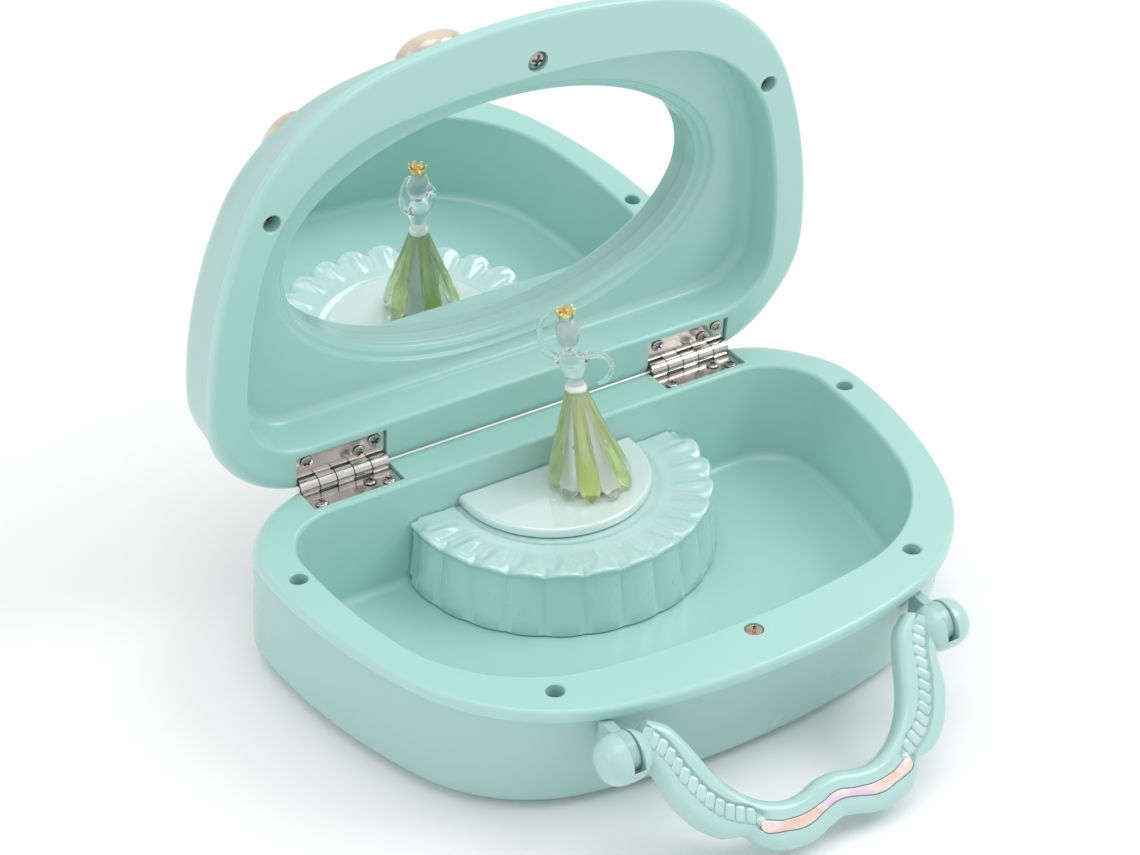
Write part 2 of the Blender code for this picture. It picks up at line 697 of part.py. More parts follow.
def lid_solid(name, thickness, low, material=None):
    """The lid's domed form, drawn in by this thickness all over."""
    turn = LID_HEIGHT - LID_TOP_ROUND
    levels = (low, LID_FLANGE + 6 * MM, turn)
    rings = [ring(inset(lid_section(h), thickness), LID_Z + h) for h in levels]
    rings += rounded_foot(lid_section(turn), LID_TOP_ROUND, thickness, LID_Z + turn, -1)
    edge = [Vector((p.x, p.y)) for p in rings[-1]]
    centre = Vector((0.0, 2.0 * MM))
    for share in (0.7, 0.35):
        points = [centre + (p - centre) * share for p in edge]
        rings.append(ring(points, LID_Z + LID_HEIGHT - thickness + LID_CROWN * (1 - share**2)))
    return loft(name, rings, material)


def lid_shell():
    low = LID_FLANGE + GAP
    shell = lid_solid("lid_shell", 0.0, low, MINT)
    hollow = lid_solid("lid_hollow", WALL, low - 1 * MM)
    foot = LID_Z + LID_SLEEVE + GAP
    for side, sign in (("left", -1), ("right", 1)):
        x = sign * LID_HOLE[0]
        y = LID_HOLE[1]
        cut(hollow, rod(f"lid_post_{side}", (x, y, foot), (x, y, LID_Z + 30 * MM), 2.35 * MM, 10))
    cut(shell, hollow)
    for side, sign in (("left", -1), ("right", 1)):
        x = sign * LID_HOLE[0]
        y = LID_HOLE[1]
        cut(shell, rod(f"lid_sleeve_room_{side}", (x, y, LID_Z), (x, y, foot), LID_SLEEVE_R + GAP, 12))
        cut(shell, rod(f"lid_pilot_{side}", (x, y, LID_Z), (x, y, LID_Z + 13 * MM), 1.2 * MM, 8))
    return shell


def lid_liner():
    outer = inset(CAVITY, -LINER_WALL)
    panel = inset(CAVITY, 2.6 * MM)
    back = LID_Z + MIRROR_DEPTH - GAP
    collar = (MIRROR_HALF[0] + 2.4 * MM, MIRROR_HALF[1] + 2.4 * MM)
    root = (MIRROR_HALF[0] + 6.2 * MM, MIRROR_HALF[1] + 5.6 * MM)
    rings = [
        ellipse_ring(MIRROR_HALF, back, MIRROR_SLOPE),
        ellipse_ring(collar, back, MIRROR_SLOPE),
        ellipse_ring(root, LID_Z + PANEL_DEPTH + 2.0 * MM),
        ring(inset(CAVITY, 1.5 * MM), LID_Z + PANEL_DEPTH + 1.8 * MM),
        ring(inset(CAVITY, -0.9 * MM), LID_Z + PANEL_DEPTH - 0.4 * MM),
        ring(outer, LID_Z + LID_FLANGE),
    ]
    for depth in (3.0, 2.6, 1.2, 0.6, 0.16, 0.0):
        shrink = 0.4 * MM if depth == 3.0 else 0.0
        rings.append(ring(inset(edge_ring(depth * MM), shrink), LID_Z + depth * MM))
    rings += [
        ring(inset(CAVITY, -0.8 * MM), LID_Z),
        ring(inset(CAVITY, -0.25 * MM), LID_Z + 0.25 * MM),
        ring(CAVITY, LID_Z + 0.8 * MM),
        ring(inset(CAVITY, 0.5 * MM), LID_Z + PANEL_DEPTH - 2.6 * MM),
        ring(inset(CAVITY, 1.1 * MM), LID_Z + PANEL_DEPTH - 1.2 * MM),
        ring(panel, LID_Z + PANEL_DEPTH - 0.5 * MM),
    ]
    for wide, deep in ((4.0, 0.0), (3.5, 1.1), (1.7, 1.5), (0.9, 3.0), (0.1, 3.3)):
        half = (MIRROR_HALF[0] + wide * MM, MIRROR_HALF[1] + wide * 0.93 * MM)
        rings.append(ellipse_ring(half, LID_Z + PANEL_DEPTH + deep * MM))
    liner = tube_loft("lid_liner", rings, MINT)
    for side, x in mirrored(HINGE_X):
        half = HINGE_LENGTH / 2
        pad = box(
            f"lid_hinge_pad_{side}",
            (x - half, HINGE_Y - 9.4 * MM, LID_Z + LID_FLANGE - 0.4 * MM),
            (x + half, HINGE_Y - 2.6 * MM, LID_Z + 7.4 * MM),
        )
        join(liner, pad)
    for side, sign in (("left", -1), ("right", 1)):
        x = sign * LID_HOLE[0]
        y = LID_HOLE[1]
        ends = [(x, y, LID_Z + depth) for depth in (1 * MM, LID_SLEEVE)]
        join(liner, rod(f"lid_sleeve_{side}", *ends, LID_SLEEVE_R, 12))
        cut(liner, rod(f"lid_hole_{side}", (x, y, LID_Z - 1 * MM), (x, y, LID_Z + 4.1 * MM), RIM_HOLE_R, 14))
        cut(liner, rod(f"lid_web_hole_{side}", (x, y, LID_Z), (x, y, LID_Z + 9 * MM), 1.3 * MM, 8))
    for side, x in mirrored(HINGE_X):
        cut(liner, *hinge_pocket(f"lid_{side}", x, 1, LID_Z))
    ends = [(0, CATCH_Y, LID_Z + depth) for depth in (-1 * MM, 1.6 * MM)]
    cut(liner, rod("catch_screw_seat", *ends, 2.75 * MM, 16))
    cut(liner, rod("catch_screw_room", (0, CATCH_Y, LID_Z), (0, CATCH_Y, LID_Z + 6 * MM), 1.3 * MM, 8))
    return liner


def tube_loft(name, rings, material):
    """A closed solid round a hole: the last ring joins the first."""
    bm = bmesh.new()
    rows = [[bm.verts.new(point) for point in points] for points in rings]
    for k in range(len(rows)):
        lower = rows[k]
        upper = rows[(k + 1) % len(rows)]
        for i in range(len(lower)):
            j = (i + 1) % len(lower)
            bm.faces.new((lower[i], lower[j], upper[j], upper[i]))
    return add_mesh(name, bm, material)


def lid_mirror():
    low = LID_Z + MIRROR_DEPTH
    half = (MIRROR_HALF[0] + 1.9 * MM, MIRROR_HALF[1] + 1.9 * MM)
    faces = [ellipse_ring(half, z, MIRROR_SLOPE) for z in (low, low + 1.4 * MM)]
    return loft("lid_mirror", faces, MIRROR)


def lid_gem(name, at, radius, turn):
    """A cabochon that sits on the lid's rounded shoulder, hollowed to fit it."""
    bm = bmesh.new()
    bmesh.ops.create_uvsphere(bm, u_segments=20, v_segments=10, radius=1.0)
    bmesh.ops.scale(bm, vec=(radius, radius * 0.8, radius * 0.5), verts=bm.verts)
    lay = Matrix.Translation((at[0], at[1], LID_Z + at[2])) @ Matrix.Rotation(-turn, 4, "Z")
    bmesh.ops.transform(bm, matrix=lay @ Matrix.Rotation(GEM_SWING, 4, "X"), verts=bm.verts)
    return cut(add_mesh(name, bm, GEM), lid_solid(f"{name}_seat", -GAP, -3 * MM))


def lid_pieces(lid_axis):
    made = [lid_shell(), lid_liner(), lid_mirror()]
    for name, (at, radius, turn) in GEMS.items():
        made.append(lid_gem(name, at, radius, turn))
    for side, sign in (("left", -1), ("right", 1)):
        at = (sign * LID_HOLE[0], LID_HOLE[1], LID_Z + 3.9 * MM)
        made.append(screw(f"lid_screw_{side}", at, (0, 0, 1), 1.95 * MM, 1.3 * MM, 0.9 * MM, 7 * MM))
    at = (0, CATCH_Y, LID_Z + 1.4 * MM)
    made.append(screw("catch_screw", at, (0, 0, 1), 2.45 * MM, 1.1 * MM, 0.9 * MM, 4 * MM))
    hang(lid_axis, *made)


# ---------------------------------------------------------------- handle

def flat_curve(name, points, half_thick, bevel, resolution, drawn_in=0.0):
    """A mesh cut to a smooth closed outline, with rounded edges."""
    curve = bpy.data.curves.new(name, "CURVE")
    curve.dimensions = "2D"
    curve.fill_mode = "BOTH"
    curve.extrude = half_thick - bevel
    curve.bevel_depth = bevel
    curve.bevel_resolution = 1
    curve.offset = -bevel - drawn_in
    curve.resolution_u = resolution
    spline = curve.splines.new("BEZIER")
    spline.bezier_points.add(len(points) - 1)
    spline.use_cyclic_u = True
    for knot, (x, y) in zip(spline.bezier_points, points):
        knot.co = (x * MM, y * MM, 0)
        knot.handle_left_type = "AUTO"
        knot.handle_right_type = "AUTO"
    drawn = bpy.data.objects.new(name + "_curve", curve)
    bpy.context.scene.collection.objects.link(drawn)
    bpy.context.view_layer.update()
    mesh = bpy.data.meshes.new_from_object(drawn.evaluated_get(bpy.context.evaluated_depsgraph_get()))
    bpy.data.objects.remove(drawn)
    bm = bmesh.new()
    bm.from_mesh(mesh)
    bpy.data.meshes.remove(mesh)
    bmesh.ops.remove_doubles(bm, verts=bm.verts, dist=0.00001)
    return bm


def on_handle(bm, lift=0.0):
    """Turns an outline drawn as width and reach into the level handle, reaching forwards from its pivot."""
    lay = Matrix.Translation((0, PIVOT_Y, PIVOT_Z + lift)) @ Matrix.Scale(-1, 4, (0, 1, 0))
    bmesh.ops.transform(bm, matrix=lay, verts=bm.verts)
    return bm


def both_halves(outer, inner):
    """A closed outline from its right half's outer and inner edges."""
    outer_left = [(-x, y) for x, y in reversed(outer[:-1])]
    inner_left = [(-x, y) for x, y in reversed(inner)]
    return list(outer) + outer_left + inner_left + list(inner)


def handle_pieces():
    axis = joint_axis("handle_axis", (0, PIVOT_Y, PIVOT_Z))
    outline = both_halves(HANDLE_OUTER, HANDLE_INNER)
    bow = add_mesh("handle_bow", on_handle(flat_curve("bow", outline, HANDLE_HALF_THICK, 1.1 * MM, 2)), MINT)
    inlay_line = list(INLAY_UPPER) + [(-x, y) for x, y in reversed(INLAY_UPPER[:-1])]
    inlay_line += [(-x, y) for x, y in reversed(INLAY_LOWER)] + [(0.0, 29.0)] + list(INLAY_LOWER)
    top = HANDLE_HALF_THICK
    groove = add_mesh("inlay_groove", on_handle(flat_curve("groove", inlay_line, 1.0 * MM, 0.01 * MM, 2), top))
    for side, x in mirrored(BOSS_X):
        centre = (x, PIVOT_Y - BOSS_AHEAD, PIVOT_Z)
        join(bow, ball(f"boss_{side}", centre, (BOSS_HALF_WIDTH, BOSS_R, BOSS_R), None, 16, 10))
    for side, x in mirrored(PIVOT_X):
        slot = LUG_HALF + GAP
        bore = 4.6 * MM
        cut(
            bow,
            box(
                f"boss_slot_{side}",
                (x - slot, PIVOT_Y - LUG_R - 0.6 * MM, PIVOT_Z - 9 * MM),
                (x + slot, PIVOT_Y + 9 * MM, PIVOT_Z + 9 * MM),
            ),
            rod(f"boss_bore_{side}", (x - bore, PIVOT_Y, PIVOT_Z), (x + bore, PIVOT_Y, PIVOT_Z), 1.45 * MM, 12),
        )
    cut(bow, groove)
    strip = flat_curve("strip", inlay_line, 0.35 * MM, 0.1 * MM, 2, 0.35 * MM)
    inlay = add_mesh("handle_inlay", on_handle(strip, top - 0.3 * MM), INLAY)
    pins = []
    for side, x in mirrored(PIVOT_X):
        ends = [(x + reach, PIVOT_Y, PIVOT_Z) for reach in (-4.3 * MM, 4.3 * MM)]
        pins.append(rod(f"handle_pin_{side}", *ends, 1.15 * MM, 12, STEEL))
    hang(axis, bow, inlay, *pins)
    axis.rotation_euler.x = HANDLE_REST


# ---------------------------------------------------------------- movement

def toothed(name, centre, along, across, outline, low, high, material):
    """A gear: an outline of (radius, angle) points swept along an axis."""
    along = Vector(along)
    across = Vector(across)
    third = along.cross(across)
    rings = []
    for depth in (low, high):
        rings.append(
            [
                Vector(centre) + along * depth + radius * (across * math.cos(angle) + third * math.sin(angle))
                for radius, angle in outline
            ]
        )
    return loft(name, rings, material)


def gear_outline(teeth, pitch_r, addendum, dedendum, share=0.36):
    """Straight-sided teeth, the first one centred on angle zero, thin enough to run with play."""
    points = []
    step = 2 * math.pi / teeth
    for k in range(teeth):
        middle = k * step
        points += [
            (pitch_r - dedendum, middle - step * share * 0.62),
            (pitch_r + addendum, middle - step * share * 0.34),
            (pitch_r + addendum, middle + step * share * 0.34),
            (pitch_r - dedendum, middle + step * share * 0.62),
        ]
    return points


def drive_train():
    x, y = FIGURE_X, FIGURE_Y
    key_axis = joint_axis("winding_key_axis", (x, y, 0))
    key = rod("winding_key", (x, y, 0.9 * MM), (x, y, 5.9 * MM), 3.0 * MM, 14, STEEL)
    wing = box("key_wing", (x - 10.5 * MM, y - 0.9 * MM, 0.7 * MM), (x + 10.5 * MM, y + 0.9 * MM, 5.0 * MM))
    join(key, wing)
    cut(key, rod("key_socket", (x, y, 2.5 * MM), (x, y, 8 * MM), 1.8 * MM, 12))
    arbor = rod("winding_arbor", (x, y, 2.8 * MM), (x, y, 18.2 * MM), 1.5 * MM, 12, STEEL)
    hang(key_axis, key, arbor)

    barrel_axis = joint_axis("spring_barrel_axis", (x, y, 0))
    flange_top = CROWN_TOP - 1.2 * MM
    barrel = rod(
        "spring_barrel", (x, y, flange_top - 1.1 * MM), (x, y, flange_top), CROWN_R + 1.1 * MM, 36, BRASS
    )
    join(barrel, rod("barrel_wall", (x, y, flange_top - 0.6 * MM), (x, y, 18.4 * MM), 9.6 * MM, 24))
    step = 2 * math.pi / CROWN_TEETH
    for k in range(CROWN_TEETH):
        tooth = crown_tooth(f"crown_tooth_{k}", x, y, math.pi + (k + 0.5) * step, flange_top)
        join(barrel, tooth)
    cut(barrel, rod("barrel_room", (x, y, 11.6 * MM), (x, y, 22 * MM), 8.4 * MM, 24))
    cut(barrel, rod("barrel_bore", (x, y, 5 * MM), (x, y, 15 * MM), 1.8 * MM, 12))
    cover = rod("barrel_cover", (x, y, 18.7 * MM), (x, y, 19.9 * MM), 9.6 * MM, 24, BRASS)
    join(cover, rod("cover_spindle", (x, y, 19.5 * MM), (x, y, 22.2 * MM), 2.2 * MM, 12))
    disc = rod("drive_magnet", (x, y, 22.5 * MM), (x, y, 25.3 * MM), 8.0 * MM, 24, MAGNET)
    hang(barrel_axis, barrel, cover, disc, mainspring())


def crown_tooth(name, x, y, angle, foot):
    bm = bmesh.new()
    bmesh.ops.create_cube(bm, size=1.0)
    half = 0.3 * MM
    for vert in bm.verts:
        radial = CROWN_R + 1.05 * MM * (1 if vert.co.x > 0 else -1)
        top = vert.co.z > 0
        side = (half if top else half * 1.5) * (1 if vert.co.y > 0 else -1)
        vert.co = Vector((radial, side, CROWN_TOP if top else foot - 0.4 * MM))
    lay = Matrix.Translation((x, y, 0)) @ Matrix.Rotation(angle, 4, "Z")
    bmesh.ops.transform(bm, matrix=lay, verts=bm.verts)
    return add_mesh(name, bm)


def mainspring():
    """A flat spiral ribbon between the arbor and the barrel's wall."""
    turns = 3.5
    per_turn = 14
    inner_r = 2.6 * MM
    outer_r = 7.7 * MM
    half = 0.22 * MM
    count = int(turns * per_turn)
    rings = []
    for i in range(count + 1):
        angle = 2 * math.pi * i / per_turn
        radius = inner_r + (outer_r - inner_r) * i / count
        rings.append(
            [
                Vector((FIGURE_X + r * math.cos(angle), FIGURE_Y + r * math.sin(angle), z))
                for r, z in (
                    (radius - half, 12.0 * MM), (radius + half, 12.0 * MM), (radius + half, 17.8 * MM),
                    (radius - half, 17.8 * MM),
                )
            ]
        )
    return loft("mainspring", rings, STEEL)


def bedplate():
    bed = box(
        "movement_bedplate", (-28.4 * MM, 20.4 * MM, BED_Z), (20.6 * MM, 51.4 * MM, BED_Z + BED_THICK), IRON
    )
    top = BED_Z + BED_THICK - 0.4 * MM
    for i, (low_x, high_x) in enumerate(((-28.2, -26.4), (-8.2, -6.7))):
        low = (low_x * MM, FIGURE_Y - 2.7 * MM, top)
        join(bed, box(f"cylinder_bearing_{i}", low, (high_x * MM, FIGURE_Y + 2.7 * MM, SHAFT_Z + 2.6 * MM)))
    for i, (low_y, high_y) in enumerate(((45.2, 46.5), (49.5, 50.8))):
        low = (FIGURE_X - 2.2 * MM, low_y * MM, top)
        join(bed, box(f"governor_bearing_{i}", low, (FIGURE_X + 2.2 * MM, high_y * MM, SHAFT_Z + 2.4 * MM)))
    join(bed, box("comb_seat", (-25.3 * MM, 20.6 * MM, top), (-9.2 * MM, 23.4 * MM, COMB_Z - GAP)))
    cut(bed, rod("cylinder_bore", (-40 * MM, FIGURE_Y, SHAFT_Z), (0, FIGURE_Y, SHAFT_Z), 1.3 * MM, 10))
    cut(bed, rod("governor_bore", (FIGURE_X, 44 * MM, SHAFT_Z), (FIGURE_X, 52 * MM, SHAFT_Z), 1.1 * MM, 10))
    cut(bed, rod("bed_arbor_hole", (FIGURE_X, FIGURE_Y, 5 * MM), (FIGURE_X, FIGURE_Y, 10 * MM), 1.9 * MM, 12))
    cut(bed, rod("fly_foot_hole", (FLY_X, WORM_Y, BED_Z + 0.4 * MM), (FLY_X, WORM_Y, 12 * MM), 1.0 * MM, 8))
    for i, (x, y) in enumerate(BED_SCREWS):
        cut(bed, rod(f"bed_screw_hole_{i}", (x, y, 5 * MM), (x, y, 12 * MM), 1.1 * MM, 8))
    for i, x in enumerate(COMB_SCREWS):
        cut(bed, rod(f"comb_pilot_{i}", (x, 22.0 * MM, 11 * MM), (x, 22.0 * MM, 20 * MM), 0.8 * MM, 8))
    return bed


def comb():
    """A steel plate with teeth that reach almost to the cylinder's pins."""
    tip = FIGURE_Y - CYLINDER_R - 0.7 * MM
    thick = 0.7 * MM
    plate = box("comb", (-25.2 * MM, 20.8 * MM, COMB_Z), (-9.3 * MM, 24.2 * MM, COMB_Z + thick), STEEL)
    pitch = 15.6 * MM / COMB_TEETH
    for k in range(COMB_TEETH):
        left = -25.0 * MM + k * pitch
        low = (left, 23.8 * MM, COMB_Z + 0.1 * MM)
        join(plate, box(f"comb_tooth_{k}", low, (left + 0.75 * MM, tip, COMB_Z + 0.6 * MM)))
    for i, x in enumerate(COMB_SCREWS):
        cut(plate, rod(f"comb_hole_{i}", (x, 22.0 * MM, 12 * MM), (x, 22.0 * MM, 20 * MM), 0.8 * MM, 8))
    return plate


def movement_fasteners():
    for i, x in enumerate(COMB_SCREWS, 1):
        at = (x, 22.0 * MM, COMB_Z + 0.7 * MM + 0.2 * MM)
        screw(f"comb_screw_{i}", at, (0, 0, -1), 1.15 * MM, 0.8 * MM, 0.5 * MM, 3.5 * MM)
    for i, (x, y) in enumerate(BED_SCREWS, 1):
        at = (x, y, BED_Z + BED_THICK + 0.2 * MM)
        screw(f"movement_screw_{i}", at, (0, 0, -1), 1.8 * MM, 1.0 * MM, 0.65 * MM, 5.0 * MM)


def pin_cylinder():
    axis = joint_axis("pin_cylinder_axis", (FIGURE_X - CROWN_R, FIGURE_Y, SHAFT_Z))
    centre = (0, FIGURE_Y, SHAFT_Z)
    down = (0, 0, -1)
    middle = FIGURE_X - CROWN_R
    drum = rod("pin_cylinder", (-26.0 * MM, *centre[1:]), (-8.6 * MM, *centre[1:]), CYLINDER_R, 24, BRASS)
    join(drum, rod("cylinder_arbor", (-28.4 * MM, *centre[1:]), (middle + 1.1 * MM, *centre[1:]), 1.0 * MM, 10))
    teeth = gear_outline(PINION_TEETH, PINION_R, 0.4 * MM, 0.75 * MM)
    pinion = toothed(
        "cylinder_pinion", centre, (1, 0, 0), down, teeth, middle - 1.0 * MM, middle + 1.0 * MM, None
    )
    join(drum, pinion)
    hang(axis, drum)


def governor():
    axis = joint_axis("governor_wheel_axis", (FIGURE_X, WORM_Y, SHAFT_Z))
    centre = (FIGURE_X, 0, SHAFT_Z)
    down = (0, 0, -1)
    middle = FIGURE_Y + CROWN_R
    teeth = gear_outline(PINION_TEETH, PINION_R, 0.4 * MM, 0.75 * MM)
    wheel = toothed(
        "governor_wheel", centre, (0, 1, 0), down, teeth, middle - 1.0 * MM, middle + 1.0 * MM, BRASS
    )
    worm_teeth = gear_outline(WORM_WHEEL_TEETH, WORM_WHEEL_R, 0.3 * MM, 0.5 * MM, 0.3)
    disc = toothed(
        "worm_wheel", centre, (0, 1, 0), (1, 0, 0), worm_teeth, WORM_Y - 0.7 * MM, WORM_Y + 0.7 * MM, None
    )
    shaft = rod(
        "governor_arbor", (FIGURE_X, middle - 1.1 * MM, SHAFT_Z), (FIGURE_X, 51.0 * MM, SHAFT_Z), 0.8 * MM, 10
    )
    join(wheel, shaft, disc)
    hang(axis, wheel)

    fly_axis = joint_axis("governor_fly_axis", (FLY_X, WORM_Y, 0))
    fly = worm("governor_fly")
    blades = box(
        "fly_blades",
        (FLY_X - 3.2 * MM, WORM_Y - 0.3 * MM, 19.8 * MM),
        (FLY_X + 3.2 * MM, WORM_Y + 0.3 * MM, 20.8 * MM),
    )
    join(fly, blades, rod("fly_foot", (FLY_X, WORM_Y, 9.0 * MM), (FLY_X, WORM_Y, 11.4 * MM), 0.7 * MM, 8))
    join(fly, rod("fly_top", (FLY_X, WORM_Y, 18.4 * MM), (FLY_X, WORM_Y, 21.9 * MM), 0.7 * MM, 8))
    hang(fly_axis, fly)


def worm(name):
    """The fly's shaft, with a single thread that turns about the worm wheel's teeth."""
    sides = 12
    low = 11.0 * MM
    high = 19.2 * MM
    per_turn = 6
    steps = int((high - low) / WORM_LEAD * per_turn)
    rings = []
    for k in range(steps + 1):
        z = low + (high - low) * k / steps
        points = []
        for i in range(sides):
            angle = 2 * math.pi * i / sides
            phase = ((z - SHAFT_Z) / WORM_LEAD - (angle - math.pi) / (2 * math.pi) + 0.5) % 1.0
            crest = max(0.0, 1 - abs(phase) * 3.4, 1 - abs(phase - 1) * 3.4)
            radius = 1.15 * MM + 0.6 * MM * min(1.0, crest * 1.5)
            points.append(Vector((FLY_X + radius * math.cos(angle), WORM_Y + radius * math.sin(angle), z)))
        rings.append(points)
    return loft(name, rings, STEEL)


def governor_bracket():
    top = BED_Z + BED_THICK + GAP
    post = box("governor_bracket", (16.4 * MM, 44.6 * MM, top), (18.6 * MM, 46.4 * MM, 22.2 * MM), IRON)
    arm = box("bracket_arm", (10.6 * MM, 44.9 * MM, 21.2 * MM), (18.4 * MM, 49.6 * MM, 22.2 * MM))
    foot = box("bracket_foot", (15.2 * MM, 42.0 * MM, top), (19.6 * MM, 46.2 * MM, top + 1.0 * MM))
    join(post, arm, foot)
    cut(post, rod("fly_top_hole", (FLY_X, WORM_Y, 19 * MM), (FLY_X, WORM_Y, 26 * MM), 1.0 * MM, 8))
    return post


# ---------------------------------------------------------------- figure

def lean(height):
    """How far the figure's middle leans to its right at this height above the stage."""
    return -7.1 * MM * (height / (52 * MM)) ** 0.85


def figure_point(sideways, forwards, height):
    """A point given from the figure's own right, front and foot."""
    turn = Matrix.Rotation(FIGURE_FACING, 3, "Z")
    spot = turn @ Vector((sideways, -forwards, 0))
    return Vector((FIGURE_X + spot.x, FIGURE_Y + spot.y, PLATFORM_Z + height))


def oval(sideways, half_side, half_front, height, count=12):
    return [
        figure_point(
            sideways + half_side * math.cos(2 * math.pi * i / count),
            half_front * math.sin(2 * math.pi * i / count),
            height,
        )
        for i in range(count)
    ]


def figure_skirt():
    count = PETALS * 4
    rings = []
    for share in (0.0, 0.06, 0.2, 0.45, 0.7, 0.9, 1.0):
        height = GAP + share * (WAIST_Z - GAP)
        radius = 2.7 * MM + (HEM_R - 2.7 * MM) * (1 - share) ** 0.85
        if share == 0.0:
            radius -= 0.7 * MM
        points = []
        for i in range(count):
            angle = 2 * math.pi * i / count
            depth = 0.16 * (1 - share) * (1 - abs(math.cos(PETALS * angle / 2)))
            reach = radius * (1 - depth)
            points.append(figure_point(lean(height) + reach * math.cos(angle), reach * math.sin(angle), height))
        rings.append(points)
    skirt = loft("figure_skirt", rings, GREEN)
    foot = (FIGURE_X, FIGURE_Y, PLATFORM_Z - 1 * MM)
    cut(skirt, rod("foot_room", foot, (FIGURE_X, FIGURE_Y, PLATFORM_Z + 3.6 * MM), 6.3 * MM, 18))
    return skirt


def limb(name, points, radii):
    """A tapering arm through points given from the figure's right, front and foot."""
    spots = [figure_point(x * MM, y * MM, z * MM) for x, y, z in points]
    rings = []
    for i, spot in enumerate(spots):
        ahead = (spots[min(i + 1, len(spots) - 1)] - spots[max(i - 1, 0)]).normalized()
        turn = ahead.to_track_quat("Z", "Y").to_matrix()
        across = turn @ Vector((radii[i] * MM, 0, 0))
        third = turn @ Vector((0, radii[i] * MM, 0))
        corners = [k * math.pi / 3 for k in range(6)]
        rings.append([spot + across * math.cos(angle) + third * math.sin(angle) for angle in corners])
    return loft(name, rings)


def figure_torso():
    profile = (
        (30.0, 2.5, 2.2), (31.6, 2.3, 2.0), (34.5, 2.9, 2.5), (37.2, 3.9, 3.0),
        (39.0, 4.0, 2.4), (40.0, 1.6, 1.5), (41.4, 1.1, 1.1),
    )
    rings = [oval(lean(h * MM), a * MM, b * MM, h * MM) for h, a, b in profile]
    torso = loft("figure_torso", rings, CLEAR)
    head = ball(
        "figure_head", figure_point(lean(45.5 * MM), 0, 45.4 * MM), (3.2 * MM, 3.2 * MM, 4.6 * MM), None, 12, 8
    )
    raised = limb(
        "raised_arm",
        (
            (-8.9, 0.2, 38.4), (-11.6, 0.6, 40.2), (-13.4, 0.9, 44.2),
            (-13.4, 0.7, 48.2), (-12.0, 0.3, 50.8), (-10.6, 0, 51.2),
        ),
        (1.1, 1.0, 0.9, 0.75, 0.7, 0.6),
    )
    bent = limb(
        "bent_arm",
        ((-2.2, 0.2, 38.8), (1.6, 0.4, 39.4), (4.6, 0.6, 36.8), (3.8, 0.6, 32.6), (1.2, 0.5, 30.6)),
        (1.1, 1.0, 0.9, 0.75, 0.6),
    )
    join(torso, head, raised, bent)
    return torso


def figure_crown():
    count = 14
    base = 50.3
    middle = lean(51 * MM)
    outer_low = oval(middle, 2.1 * MM, 2.1 * MM, base * MM, count)
    outer_high = []
    inner_high = []
    for i in range(count):
        height = (base + (2.9 if i % 2 else 1.7)) * MM
        angle = 2 * math.pi * i / count
        for radius, points in ((2.5 * MM, outer_high), (2.0 * MM, inner_high)):
            points.append(figure_point(middle + radius * math.cos(angle), radius * math.sin(angle), height))
    inner_low = oval(middle, 1.5 * MM, 1.5 * MM, (base + 0.5) * MM, count)
    return loft("figure_crown", [outer_low, outer_high, inner_high, inner_low], GOLD)


def figure_pieces():
    stow_axis = joint_axis("figure_stow_axis", (FIGURE_X, FIGURE_Y - 12.2 * MM, PLATFORM_Z))
    spin_axis = joint_axis("figure_spin_axis", (FIGURE_X, FIGURE_Y, PLATFORM_Z))
    foot_low = PLATFORM_Z + GAP
    ends = [(FIGURE_X, FIGURE_Y, foot_low + height) for height in (0, 2.8 * MM)]
    foot = rod("figure_foot", *ends, 5.8 * MM, 18, MAGNET)
    hang(stow_axis, foot)
    hang(spin_axis, figure_skirt(), figure_torso(), figure_crown())


# ---------------------------------------------------------------- assembly

def build():
    case_shell()
    tray_liner()
    case_fasteners()
    stage_drum()
    stage_platform()
    handle_pieces()
    lid_axis = joint_axis("lid_axis", (0, HINGE_Y, HINGE_Z))
    hinges(lid_axis)
    lid_pieces(lid_axis)
    lid_axis.rotation_euler.x = -LID_OPEN
    bedplate()
    governor_bracket()
    comb()
    movement_fasteners()
    drive_train()
    pin_cylinder()
    governor()
    figure_pieces()


build()
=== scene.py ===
"""Looks of the wind-up music box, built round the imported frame.

Metres, in the frame's own axes. The lid's pieces are drawn shut and then swung open about
the frame's lid hinge, and the handle's pieces are drawn level and swung down the same way.
"""

import json
import math

import bmesh
import bpy
from mathutils import Matrix, Vector


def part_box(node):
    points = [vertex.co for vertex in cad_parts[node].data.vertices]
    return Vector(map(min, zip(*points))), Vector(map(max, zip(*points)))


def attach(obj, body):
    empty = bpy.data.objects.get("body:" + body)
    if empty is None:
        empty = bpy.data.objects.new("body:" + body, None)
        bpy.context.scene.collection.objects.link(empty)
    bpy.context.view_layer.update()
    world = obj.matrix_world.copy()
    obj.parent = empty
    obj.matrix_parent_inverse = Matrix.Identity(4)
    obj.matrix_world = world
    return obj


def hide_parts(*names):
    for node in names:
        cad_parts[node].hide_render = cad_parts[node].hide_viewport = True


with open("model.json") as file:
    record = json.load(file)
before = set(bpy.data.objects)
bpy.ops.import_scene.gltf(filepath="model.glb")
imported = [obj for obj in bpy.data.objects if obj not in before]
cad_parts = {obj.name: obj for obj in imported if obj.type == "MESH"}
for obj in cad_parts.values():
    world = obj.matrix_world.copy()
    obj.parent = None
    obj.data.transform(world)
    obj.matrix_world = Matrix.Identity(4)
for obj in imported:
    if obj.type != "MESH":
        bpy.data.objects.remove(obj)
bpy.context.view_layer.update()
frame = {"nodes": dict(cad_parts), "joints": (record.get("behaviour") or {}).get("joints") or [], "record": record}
NODES = frame["nodes"]
RECORD = frame["record"]
JOINTS = {joint["name"]: joint for joint in frame["joints"]}

